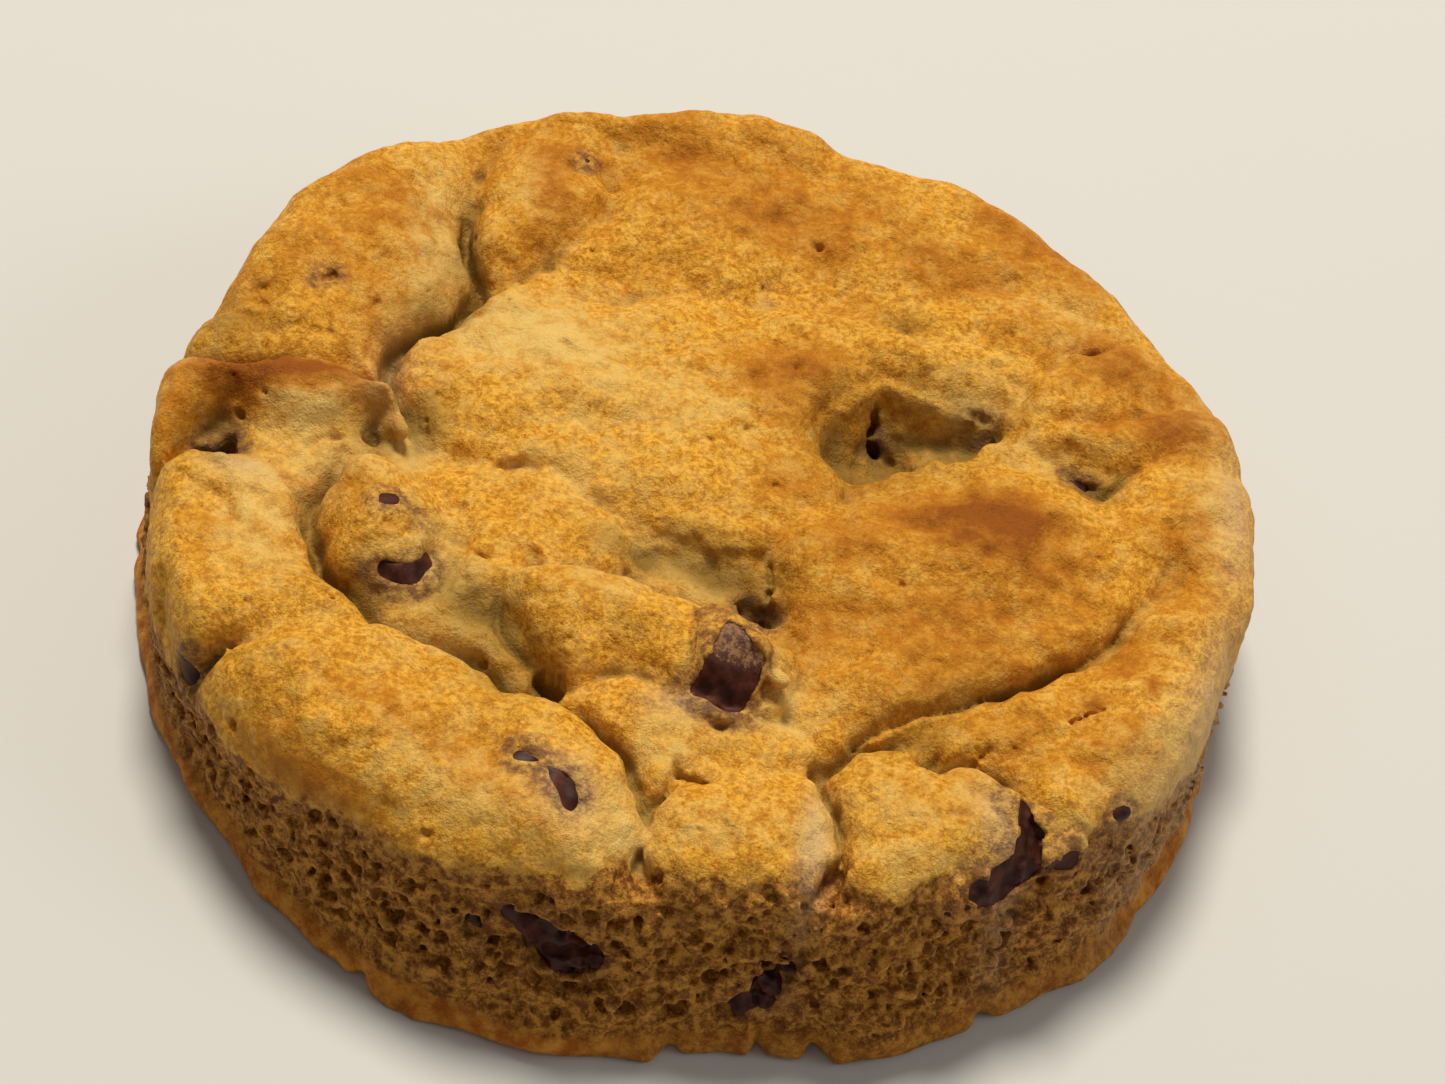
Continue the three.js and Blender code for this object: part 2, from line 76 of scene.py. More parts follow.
# The lobes of the top, each a rounded slab of dough: the height of its edge and of its crest, the
# distance from edge to crest, the rounding of its edge, the softness of its join with the dough
# around it, its outline seen from above, and the rounding over to the wall where it reaches the rim.
Lobe = namedtuple("Lobe", "edge crest width rounding blend outline rim", defaults=[RIM_ROUND])
LOBES = {
    "right_base": Lobe(18.4, 19.2, 6, 2.6, 1.5, [
        (28, 15), (31, 13), (38, 12.2), (46, 14.2), (60, 16), (60, 29), (42, 27), (36, 25.6), (31, 22.8),
        (27.6, 18.6)]),
    "back_rim": Lobe(20.2, 21.2, 4, 4, 1.5, [
        (-42, 60), (-37, 37), (-30, 40.5), (-22, 42.5), (-14, 43.6), (-4, 44.5), (6, 46), (8, 60)]),
    "back": Lobe(18.2, 20.2, 13, 4, 3, [
        (-12.5, 60), (-12.7, 44), (-13.3, 38), (-14.4, 34), (-17, 30), (-14, 26), (-6, 25.5), (0, 26),
        (4, 30), (8, 31.5), (12, 29.5), (16, 28), (20, 30.5), (24.5, 33), (29, 32.5), (34, 28.5),
        (38.5, 26.5), (60, 36), (50, 60)]),
    "back_inner": Lobe(18, 19.6, 7, 3, 2, [
        (16.5, 26.5), (20, 29.5), (24.5, 32.2), (30, 31.5), (36, 28), (38.5, 26.3), (36.2, 25.2),
        (33.5, 23.6), (31, 21.3), (28, 19.5), (23, 19), (19, 21)]),
    "back_knob": Lobe(18.8, 20.9, 6, 3, 1.4, [
        (-27, 60), (-26.6, 45), (-25.6, 40), (-26, 35), (-25.9, 31), (-25, 27.5), (-23.5, 24.5),
        (-20.5, 26.5), (-17, 29.3), (-14.8, 33), (-13.8, 37), (-13.2, 42), (-14, 47), (-15, 60)]),
    "back_left": Lobe(18.4, 22.6, 12, 2.4, 0.7, [
        (-27.5, 60), (-27.2, 45), (-26.2, 41), (-26.5, 36), (-26.5, 32), (-26.2, 29), (-25.4, 26),
        (-24.8, 23), (-25, 20.7), (-26.2, 18.6), (-28.2, 16.6), (-30.2, 14.6), (-31.4, 12.6), (-31.5, 10),
        (-31, 7.8), (-35, 8), (-39, 9), (-43, 10.5), (-46, 12.5), (-60, 14), (-60, 60)], rim=5),
    "right_outer": Lobe(17.6, 19.3, 5, 3, 1.5, [
        (40, 26), (60, 35), (60, 14), (45.5, 16), (42, 19.5), (41, 22.5)]),
    "right_fold": Lobe(19.2, 20.5, 4, 2.2, 2, [
        (31, 13.6), (34, 12.8), (38, 13.4), (41.4, 13.6), (46, 15.4), (60, 17), (60, 23), (47, 19.6),
        (43, 19.8), (39.4, 18.4), (35.6, 16.4), (32, 15.8)]),
    "right_knob": Lobe(19.2, 20.8, 5, 2.2, 2, [
        (28.2, 19), (29.4, 21.4), (31.8, 23.2), (34.8, 24.9), (38, 26), (41, 26), (42, 23.6), (40.8, 21.2),
        (38.9, 19), (35.6, 17.1), (32, 16.7), (29.2, 17.4)]),
    "plateau": Lobe(18.2, 19.9, 10, 1.8, 0.5, [
        (37, 7.5), (39.5, 11.5), (43.5, 15.2), (60, 17.5), (60, 4), (46.4, 4.5), (45.8, 1.5), (44.6, -1.5),
        (42.3, -4.6), (40.3, -7.4), (37.3, -10.7), (34.3, -13.7), (31.3, -16.4), (28.3, -19), (25.3, -21.3),
        (22.5, -23.2), (20, -24), (16.5, -25.3), (13.8, -27.5), (11, -24.5), (10.5, -19), (12, -14),
        (8.5, -10.5), (10, -4), (22, 0), (34, 5)]),
    "centre": Lobe(18.8, 20.6, 12, 2.4, 0.7, [
        (-23.6, 22), (-24.4, 19.2), (-26.6, 16.6), (-29, 14.4), (-30.3, 11.6), (-30, 9.3), (-29, 7.4),
        (-27.6, 6), (-26, 4.2), (-24.6, 1.5), (-20, 0.6), (-13, -0.2), (-7, -3), (-4, -6), (2, -6.5),
        (8, -5), (12, 0), (14, 4), (12, 6.5), (10, 10), (9.8, 12.8), (11, 16), (13.6, 18.6), (17.5, 19),
        (20, 18.4), (24, 20.6), (20, 24.5), (10, 25), (3, 25), (-4, 24.5), (-12, 24), (-19, 24)]),
    "mound": Lobe(18.8, 22.2, 12, 3, 1.6, [
        (9, -0.6), (12.4, 2.2), (16.4, 3.4), (20, 5), (23.6, 8), (27, 9.6), (30.4, 9), (33.6, 7.4),
        (36.2, 5.4), (38.5, 2), (37.5, -4), (33, -9.5), (24, -12.8), (16, -12.6), (10, -10), (7.6, -6)]),
    "shelf": Lobe(18.2, 19.5, 5, 1.6, 1, [
        (-27, -3), (-22.5, -1.5), (-18, -0.6), (-13, -1.4), (-9, -3.2), (-5.6, -4.8), (-4, -7.8),
        (-5.6, -10.4), (-9, -13), (-10, -18), (-10.5, -22.5), (-14, -22.4), (-17.4, -21), (-22, -19.2),
        (-26, -18.4), (-30, -15), (-30, -8)]),
    "lump": Lobe(18.2, 23, 7.5, 3.2, 0.9, [
        (-34, -6), (-32, -3.6), (-28.4, -2.4), (-24.6, -3.4), (-21.8, -6), (-20.2, -9.4), (-20.2, -12.6),
        (-21.8, -15.2), (-24.5, -17), (-28, -17.5), (-31.4, -16.6), (-33.9, -14), (-34.8, -11),
        (-34.6, -8)]),
    "left_ridge": Lobe(18.6, 23.2, 5.5, 3.6, 0.8, [
        (-60, 7), (-50, 6.8), (-46.5, 6.4), (-43.6, 6.2), (-41.5, 7.8), (-38, 9.2), (-35, 8.8),
        (-32.5, 7.6), (-30, 6.6), (-28.4, 5.2), (-27.6, 3.4), (-27.6, 1.6), (-28.8, 0.6), (-31, 2.6),
        (-31.6, 0.2), (-33, -0.8), (-36, -1), (-39, -0.6), (-41.6, 0.6), (-43.2, 1.4), (-44.6, -0.6),
        (-45.6, -3.4), (-47, -6.4), (-50, -8.6), (-60, -9)]),
    "left_slope": Lobe(17.8, 19.4, 4, 2, 2, [
        (-41.5, 3), (-36, 3), (-31.5, 3), (-29.5, -1.5), (-32, -4), (-34.4, -7), (-38, -7), (-41.5, -5.5)]),
    "left_knob": Lobe(19, 20.8, 3.5, 2, 1, [
        (-49, 7.5), (-46, 6.6), (-42.4, 7), (-40.6, 9.5), (-42, 12.5), (-46, 13.4), (-50, 11.5)]),
    "left_rim": Lobe(19, 21.3, 5, 2, 0.6, [
        (-48, -7.4), (-44.6, -4.6), (-41.6, -3.6), (-39, -4.6), (-36.8, -7), (-35.2, -9.8), (-34.9, -12.6),
        (-33.2, -15.2), (-30.4, -17.8), (-26, -20.4), (-27, -23), (-31, -24.5), (-35, -24), (-38.6, -24.2),
        (-40, -26.6), (-41.4, -28.5), (-43.6, -27), (-45.6, -23), (-47.4, -18), (-49, -13)]),
    "front_left": Lobe(19.2, 22, 8, 2.4, 0.7, [
        (-39.6, -26.4), (-37.4, -24.6), (-33, -21.9), (-28.5, -20.2), (-25, -20.1), (-21.5, -21.3),
        (-18, -22.8), (-15, -24.5), (-12.3, -26), (-9.5, -27.6), (-6.6, -29), (-4.3, -30.8), (-2.6, -32.6),
        (-1, -34.6), (0.4, -37.5), (1, -41), (1.4, -46), (2, -60), (-60, -60), (-46, -36), (-41.6, -32.5),
        (-40.3, -29)], rim=8.5),
    "front_mound": Lobe(18.6, 22.5, 7, 2.6, 0.8, [
        (-15.6, -13.6), (-11.5, -11.6), (-6, -11.2), (-1, -12.2), (3, -12.8), (6, -13.6), (8, -14.8),
        (10.4, -15.8), (12, -18), (11, -22), (9.5, -24), (4, -25), (-2, -22.8), (-6, -22), (-8, -23.6),
        (-10.5, -24.2), (-13, -22.2), (-14.8, -19), (-15.6, -16.2)]),
    "front_step": Lobe(18.8, 20.5, 6, 1.8, 0.9, [
        (-8.4, -24.6), (-6, -23.2), (-2.5, -22.6), (3, -24.4), (9, -24.4), (12.4, -25.6), (13.6, -27.8),
        (12.5, -30), (8, -31), (3.4, -32), (1, -35), (-0.6, -34.2), (-2.4, -32.4), (-5.2, -29.6),
        (-8.2, -26.8)]),
    "front_disc": Lobe(18.8, 20.7, 6, 2, 0.8, [
        (1.2, -35), (3.4, -32), (7, -30), (11, -29.3), (13.8, -29.8), (15.2, -33), (15.7, -36.5),
        (15.2, -39.5), (13.2, -42.6), (9.5, -44.6), (5, -44.8), (2, -42.6), (1, -39)], rim=5),
    "front_right_lobe": Lobe(19, 21.2, 6, 2, 0.9, [
        (14.2, -29), (15.8, -26.9), (18, -25.2), (20.5, -24.5), (22.4, -25.4), (23, -26.8), (24.6, -26.8),
        (27, -26.6), (29.2, -28), (30.2, -30.2), (29.6, -32.8), (28, -35.8), (26, -38.6), (22.6, -41.5),
        (18.6, -43.6), (14.6, -43.8), (15.4, -41), (15.9, -38.6), (16.1, -35.5), (15.4, -32)], rim=5),
    "front_right": Lobe(18.6, 20.6, 7, 1.8, 0.5, [
        (47, 5), (46.4, 1.5), (45.2, -1.5), (43, -4.8), (41, -7.6), (38, -10.9), (35, -13.9), (32, -16.6),
        (29, -19.2), (26, -21.5), (24, -23.3), (24.4, -25.6), (27.6, -25.6), (30.6, -28), (32, -31.5),
        (34, -35), (38, -50), (60, -45), (60, 5)], rim=6.5),
    "right_end": Lobe(19, 20, 5, 4, 2.5, [
        (44, -1), (46.5, -4), (60, -5), (60, 13), (45, 12.5), (43.6, 6)]),
}

# The crater: its outline, the height of its lip, its depth, the distance from lip to floor, and
# how much its floor climbs for each millimetre to the right.
CRATER = dict(lip=19.8, depth=7.4, width=4.6, climb=0.24, outline=[
    (9.2, 12.2), (10, 9.2), (12, 7), (13.5, 5), (15.8, 4), (18.8, 4.8), (22.7, 7.7), (25.6, 10.6),
    (28.6, 13.2), (29.4, 15.6), (27.9, 18.4), (24.7, 19), (20.2, 18), (17.9, 18.5), (13.8, 18.2),
    (11.3, 15.6)])

# Its rough part, in the form of the colour spots below.
CRATER_ROUGH = (17.5, 12, 8, 6.5, 20, 1)

# Hollows carved into the top: centre, half lengths, turn in degrees and softness of the rim.
HOLLOWS = [
    ((15.2, 15.9, 12), (1, 1.5, 2.6), 20, 0.3),       # deep hole of the crater
    ((14.6, 15, 12.4), (1.2, 0.6, 1.6), -30, 0.3),
    ((25.2, 16.8, 17), (1.4, 0.5, 0.6), -10, 0.3),    # slit on its far slope
    ((36, 8.9, 19), (0.6, 1.2, 1.4), -40, 0.3),       # notch to its right
    ((-44, -3, 18.6), (1.6, 0.9, 4), 10, 0.2),        # pocket in the left rim
    ((-42.9, -1.9, 18.6), (0.9, 1.5, 4), -15, 0.2),
    ((-44.6, 14.6, 22), (3, 1.6, 2.4), 10, 0.8),      # saddle over the left rim
    ((-30.2, 1.2, 18.2), (0.8, 1.3, 1.5), -20, 0.3),  # hollow under the tip of the left ridge
    ((-24.9, 5.4, 20.2), (1.5, 1.5, 1.2), 0, 0.8),
    ((1.5, -8, 19.4), (7, 2.3, 3), -14, 1.3),         # valleys around the front mound
    ((-16.5, -18, 19.8), (4.5, 2, 2), -35, 1.2),
    ((6.8, -10.9, 17.6), (1.9, 1, 2.6), -20, 0.5),    # recess behind the front mound
    ((-10.2, -24.6, 18), (1.6, 1.4, 2.8), -35, 0.6),  # recess in front of it
    ((-1, 24.5, 20.2), (5.5, 3, 1.6), 10, 1.5), ((-6, 17.5, 21.4), (4.5, 2.5, 1.2), 0, 1.5),
    ((8.6, -23.4, 19.6), (2.2, 2, 1.5), 0, 0.8), ((-34.8, 6, 22), (0.5, 0.6, 0.9), 0, 0.3),
    ((-34.6, -1, 19.2), (2.4, 0.5, 0.8), 25, 0.4), ((23.2, 36, 20.6), (0.5, 0.7, 1), 0, 0.2),
    ((-13.6, -11, 20.2), (0.7, 0.9, 1.2), 0, 0.3),
]

# Small humps: centre and half lengths. The first three are the curled tip of the left ridge.
HUMPS = [
    ((-29.2, 4.5, 19.2), (1.5, 0.9, 1.1)), ((-28.1, 3.1, 18.6), (0.7, 1.1, 1.2)),
    ((-27.6, 1.9, 18.8), (0.5, 0.6, 0.9)), ((9.4, -21.4, 20.2), (1.1, 1, 0.9)),
    ((-42.4, -6.2, 20.2), (1.4, 1, 1.2)), ((-46.6, 4.4, 20.8), (1.8, 1.3, 1.2)),
]

# Creases where two lobes meet, each as points with the depth there, seen from above.
CREASE_WIDTH = 0.7
CREASES = [
    [(-27.6, 4.2, 0.6), (-30.2, 7.3, 1.5), (-31.1, 10.8, 1.8), (-30.3, 13.8, 1.8), (-28.2, 17.1, 2),
     (-25.9, 20.5, 2.2), (-24.6, 22.9, 2.6), (-24.9, 25.5, 2.4), (-25.9, 29.4, 2), (-25.8, 33, 1),
     (-25.4, 36, 0.2)],
    [(-25, 23, 1.6), (-21.5, 24.6, 1), (-17, 28, 0.7), (-14, 32, 0.4)],
    [(-49, 6.4, 0.9), (-45.9, 5.9, 1.5), (-42, 6.3, 1.4), (-38.5, 8.4, 0.5)],
    [(-32.6, -4, 0.4), (-34.6, -7.6, 1.1), (-34.8, -11.3, 1.6), (-33.2, -14.7, 1.9), (-30.1, -17.5, 1.8),
     (-26.3, -19.8, 1.1), (-21.7, -20.6, 1), (-16.4, -22.4, 1.6), (-12.3, -25.6, 2), (-8.4, -27.5, 1.8),
     (-5, -30.4, 1.6), (-2.1, -33.6, 1.2), (0.2, -36.5, 0.6)],
    [(-43, -29, 2.4), (-42, -27.2, 2.4), (-40.2, -26, 1.8), (-39.2, -24.4, 1.2), (-37.1, -23.3, 0.6),
     (-35, -22.6, 0.1)],
    [(-44.6, -19, 0.8), (-44.2, -23, 1.2), (-43, -27, 1.6)],
    [(3, -30.6, 0.5), (1.5, -32.2, 0.9), (0.9, -36, 0.9), (1.6, -39.2, 0.6)],
    [(7, -29.2, 0.2), (13.4, -28.6, 0.7), (15.2, -31.9, 0.6), (15.9, -36.2, 0.4), (15, -40, 0.2)],
    [(13.4, -28.6, 1.3), (16.9, -25.4, 1.6), (20.4, -24.2, 1)],
    [(22.4, -26.8, 1.2), (25.2, -26.6, 1.6), (27.9, -27.5, 1.7), (29.4, -29.4, 1.6)],
    [(22.8, -26.6, 1), (24.6, -24.6, 0.9), (27.4, -22.4, 0.5), (29.5, -21, 0.1)],
    [(16.6, -24.6, 1), (18.4, -23.2, 1.8), (21.5, -21.6, 2), (25.1, -19.6, 2), (32.3, -14.9, 1.8),
     (38.3, -8.5, 1.5), (42.6, -1.9, 1), (44.6, 3.7, 0.4)],
    [(28.2, 17.8, 0.4), (29, 20.2, 0.9), (31.6, 22.8, 1), (35, 25, 0.8), (38.5, 26.4, 0.5)],
    [(30.6, 12, 0.3), (33.4, 10.4, 0.6), (35.6, 9.2, 1.1), (37.2, 8.2, 1.4), (38, 9.6, 0.9),
     (39.4, 12.2, 0.5)],
    [(31.5, 16.2, 0.5), (35.4, 16.6, 0.7), (39.2, 18.6, 0.5)],
    [(-45.5, -9, 0.3), (-42.6, -10.4, 0.7), (-40.4, -13.2, 0.4)],
    [(-35.6, -16.4, 0.3), (-37.8, -18.8, 0.6), (-41.4, -20.4, 0.4)],
    [(-38, -8.6, 0.3), (-36.8, -12, 0.5), (-38, -15, 0.2)],
    [(-27.5, -3, 0.6), (-23.2, -4, 0.7), (-20.2, -7, 0.8), (-19.6, -11, 0.9), (-20.6, -14.6, 0.8),
     (-23, -17.2, 0.6)],
    [(-14, -12.6, 0.3), (-15.4, -16, 0.8), (-14, -20.4, 1.2), (-11, -23.6, 1.6)],
    [(-15.4, -12.8, 0.2), (-11, -11.2, 0.6), (-5, -10.8, 0.7), (0, -11.6, 0.8), (5, -12.4, 0.9)],
]

# Larger pits of the wall: direction in degrees, height and size.
WALL_PITS = [
    (221.4, 16, 0.7), (223, 6.8, 0.7), (228.4, 11, 0.6), (258, 8.2, 0.8), (252, 7, 0.6), (262.5, 7.6, 0.9),
    (267.5, 7.8, 0.8), (240, 8, 0.6), (246, 11, 0.5), (292, 6, 0.7), (300, 9, 0.6), (306, 6, 0.6),
]

PORES, CRUMBS, LARGE_CRUMBS = 2600, 3600, 90    # how many the open wall has
LARGE_CRUMB_DEGREES = (292, 326)                # directions between which the large ones lie
PINHOLES, PINHOLE_REACH = 170, 46.0             # how many the crust has, how far from its middle

# Cracks in the skin, seen from above, each with its half width.
CRACKS = [
    (0.25, [(23.6, -28), (25.4, -26.6), (28, -24.3)]), (0.3, [(1.6, -31.6), (3.2, -32.4), (4.6, -32.2)]),
    (0.22, [(7.2, -6.2), (7.6, -8.6), (7.2, -10.6)]), (0.22, [(-18.6, -11.6), (-17.4, -12)]),
    (0.22, [(34.6, -21), (36, -19.6), (37.4, -19)]), (0.22, [(-31, -19.6), (-29.6, -20.6)]),
]


def wall(degrees, z, *radius):
    """A place on the skin of the wall, with the radius of an opening there if it has one."""
    return ("wall", math.radians(degrees), z, *radius)


# Openings in the skin that show a chip: points joined in a line, each with its radius at the end.
# A point given by x and y lies on top of the skin, one given by x, y and z inside the dough or under
# the base, and one made by wall() on the skin of the wall.
WINDOWS = {
    "chip_lump": [
        [(-25.9, -15.5, 0.4), (-25, -15.6, 0.6), (-23.6, -15, 0.65), (-22.6, -13.4, 0.5)],
        [(-27, -9.7, 0.5), (-26.5, -9.4, 0.4)]],
    "chip_mound": [[(3.6, -17.4, 1.2), (4.9, -20, 2.3), (4.2, -23.2, 2.2)]],
    "chip_front_left": [
        [(-11.3, -34.6, 0.5), (-10.3, -34.9, 0.5), (-9.2, -35.4, 0.35), (-8.2, -36.4, 0.45),
         (-7.2, -37.3, 0.7), (-6.6, -38.4, 0.6)]],
    "chip_front_right": [
        [(30.2, -30.8, 1.1), (31.4, -32.2, 1.9), wall(312.9, 16.8, 2.3), wall(308.5, 15.8, 1.8),
         wall(305.9, 15.6, 1.3), wall(303.6, 15.5, 0.9)]],
    "chip_shoulder": [[wall(315.3, 16.4, 0.8), wall(316.3, 16.1, 1.1), wall(317.3, 16.1, 0.9)]],
    "chip_wall_front": [
        [wall(257.3, 13.2, 0.6), wall(260, 12.6, 1.3), wall(263, 11.4, 1.9), wall(265.8, 10.4, 1.3)],
        [wall(261.5, 9.6, 0.8), wall(264.5, 8.9, 1)]],
    "chip_wall_low": [
        [wall(286.6, 9.2, 0.9), wall(285.6, 7.6, 1.3), wall(284.5, 6.4, 1.1), wall(281.9, 5.8, 0.5)]],
    "chip_pocket": [[(-43.4, -1.2, 18, 0.9), (-44.2, -2.9, 17.4, 1), (-42.6, -2.9, 17.4, 1)]],
    "chip_left": [[wall(211.3, 15.2, 0.8), wall(212, 14.2, 0.9)]],
    "chip_crater": [[(15.2, 15.9, 11.8, 0.9)]],
    "chip_crater_edge": [[(24.3, 16.9, 0.25), (25.4, 16.8, 0.4), (26.4, 16.5, 0.25)]],
    "chip_recess": [[(6, -11.2, 16.6, 0.8), (7.2, -11.8, 16.2, 0.8)]],
    "chip_back_left": [[(-38, 17.2, 0.1), (-37, 17.9, 0.1)]],
    "chip_back": [[(-16.1, 40.8, 0.4)]],
    "chip_notch": [[(33.8, 9.8, 0.3), (35, 9.6, 0.35)]],
    "chip_right": [[wall(324.3, 17.4, 0.3), wall(324.9, 16.8, 0.25)]],
    "chip_wall_left": [[wall(253.6, 11.4, 0.5), wall(254.6, 10.6, 0.3)]],
    "chip_rear_a": [[wall(69, 12, 1.6), wall(67, 9.6, 1.6)]],
    "chip_rear_b": [[wall(131.8, 9.6, 1.5), wall(128.2, 8, 1.4)]],
    "chip_rear_c": [[wall(10.7, 9.8, 1.5), wall(13.4, 8.4, 1.3)]],
    "chip_under_a": [[(-16, 12, 0, 2.2)]],
    "chip_under_b": [[(21, -14, 0, 1.8)]],
    "chip_under_c": [[(6, 30, 0, 1.6)]],
}

# How far a chip stands out of the dough at its opening. One that does is wrapped in a thin skin.
PROUD = {"chip_mound": 1.2, "chip_front_right": 1, "chip_shoulder": 0.3, "chip_wall_front": -0.2,
         "chip_front_left": -0.35, "chip_wall_low": -0.1, "chip_rear_a": 0.2, "chip_rear_c": 0.2,
         "chip_crater": -0.6, "chip_crater_edge": -0.7, "chip_notch": -0.2, "chip_back_left": -0.35,
         "chip_back": -0.25}
PROUD_OTHERS = -0.15                # for the chips not named there
BURIED = -0.5                       # for the parts of a chip away from its opening
SKIN = 0.25                         # thickness of the thin skin
STAIN_REACH = 1.8                   # how far from an opening the dough is stained
CHIP_SPREAD = 0.7                   # how far a chip reaches under the skin around its opening
CHIP_VOXEL = 0.3                    # fineness of a chip's shape before it is melted

# Chips with crumbs on their far part: the places along Y where these begin and are complete.
DUSTED_BEYOND = {"chip_mound": (-22.4, -20.6)}

CHIPS = [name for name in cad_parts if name.startswith("chip_")]

# The frame's origin is the middle of the model's box; the sizes above count from the middle of
# the base. A chip that stands upright under the base gives the step between the two.
UNDER_CHIP = (-16.0, 12.0)
low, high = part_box("chip_under_a")
SHIFT = Vector(((low[0] + high[0]) / 2 - UNDER_CHIP[0] * MM, (low[1] + high[1]) / 2 - UNDER_CHIP[1] * MM, 0))

rng = np.random.default_rng(7)

# ---------------------------------------------------------------- the dough as a field
xs = np.arange(-REACH, REACH + VOXEL, VOXEL, dtype=np.float32)
zs = np.arange(BOTTOM, TOP, VOXEL, dtype=np.float32)
X, Y = np.meshgrid(xs, xs, indexing="ij")
RADIUS = np.hypot(X, Y)
ANGLE = np.arctan2(Y, X)


def spline_weights(coords, spacing):
    """Weights of a cubic B-spline lattice of this spacing at each coordinate."""
    place = (coords - coords[0]) / spacing
    cell = np.floor(place).astype(int)
    f = (place - cell).astype(np.float32)
    weights = np.zeros((len(coords), cell[-1] + 5), np.float32)
    rows = np.arange(len(coords))
    weights[rows, cell] = (1 - f) ** 3 / 6
    weights[rows, cell + 1] = (3 * f ** 3 - 6 * f ** 2 + 4) / 6
    weights[rows, cell + 2] = (-3 * f ** 3 + 3 * f ** 2 + 3 * f + 1) / 6
    weights[rows, cell + 3] = f ** 3 / 6
    return weights


def smooth_noise(axes, spacing):
    """Smooth random field of unit strength over a grid with these axes."""
    weights = [spline_weights(axis, spacing) for axis in axes]
    values = rng.standard_normal([w.shape[1] for w in weights]).astype(np.float32)
    for w in weights:
        values = np.tensordot(values, w, axes=(0, 1))
    return values / values.std()


def flat_noise(spacing):
    """Smooth noise over the grid seen from above."""
    return smooth_noise([xs, xs], spacing)


def deep_noise(spacing):
    """Smooth noise through the whole grid."""
    return smooth_noise([xs, xs, zs], spacing)


def smooth_min(a, b, k):
    h = np.clip(0.5 + 0.5 * (b - a) / k, 0, 1)
    return b + (a - b) * h - k * h * (1 - h)


def smooth_max(a, b, k):
    return -smooth_min(-a, -b, k)


def smoothstep(low, high, value):
    t = np.clip((value - low) / (high - low), 0, 1)
    return t * t * (3 - 2 * t)


def soften_outline(points):
    """Cuts the corners of a closed outline twice over, which makes it a smooth curve."""
    points = np.asarray(points, np.float32)
    for _ in range(2):
        after = np.roll(points, -1, axis=0)
        points = np.stack([0.75 * points + 0.25 * after, 0.25 * points + 0.75 * after], 1).reshape(-1, 2)
    return points


def inside_distance(outline, x, y):
    """Distance to a closed outline, positive inside it."""
    best = np.full(x.shape, 1e9, np.float32)
    inside = np.zeros(x.shape, bool)
    for a, b in zip(outline, np.roll(outline, -1, axis=0)):
        edge = b - a
        t = np.clip(((x - a[0]) * edge[0] + (y - a[1]) * edge[1]) / max(edge @ edge, 1e-9), 0, 1)
        best = np.minimum(best, (x - a[0] - t * edge[0]) ** 2 + (y - a[1] - t * edge[1]) ** 2)
        crosses = (a[1] > y) != (b[1] > y)
        if edge[1]:
            inside ^= crosses & (x < a[0] + (y - a[1]) * edge[0] / edge[1])
    return np.where(inside, 1, -1) * np.sqrt(best)


def rounded_slab(depth, over, radius):
    """Signed distance of a slab with a rounded top edge: depth inside its side, height over its top."""
    side = radius - depth
    up = over + radius
    corner = np.sqrt(np.maximum(side, 0) ** 2 + np.maximum(up, 0) ** 2)
    return corner + np.minimum(np.maximum(side, up), 0) - radius


def around(values, angle):
    """A value given in equal steps around the cookie, read smoothly at any direction."""
    values = np.asarray(values, np.float32)
    step = (angle * len(values) / math.tau) % len(values)
    low = np.floor(step).astype(int) % len(values)
    blend = (1 - np.cos((step - np.floor(step)) * math.pi)) / 2
    return values[low] * (1 - blend) + values[(low + 1) % len(values)] * blend


def notch_depth():
    """How deep the foot is broken away in each direction."""
    depth = np.zeros_like(ANGLE)
    for degrees, deep, half in FOOT_NOTCHES:
        off = (np.degrees(ANGLE) - degrees + 180) % 360 - 180
        depth = np.maximum(depth, deep * np.exp(-(off / half) ** 2))
    return depth


def block_axes(block):
    """Coordinates of a block of the grid, ready to be combined into three dimensions."""
    return xs[block[0]][:, None, None], xs[block[1]][None, :, None], zs[block[2]][None, None, :]


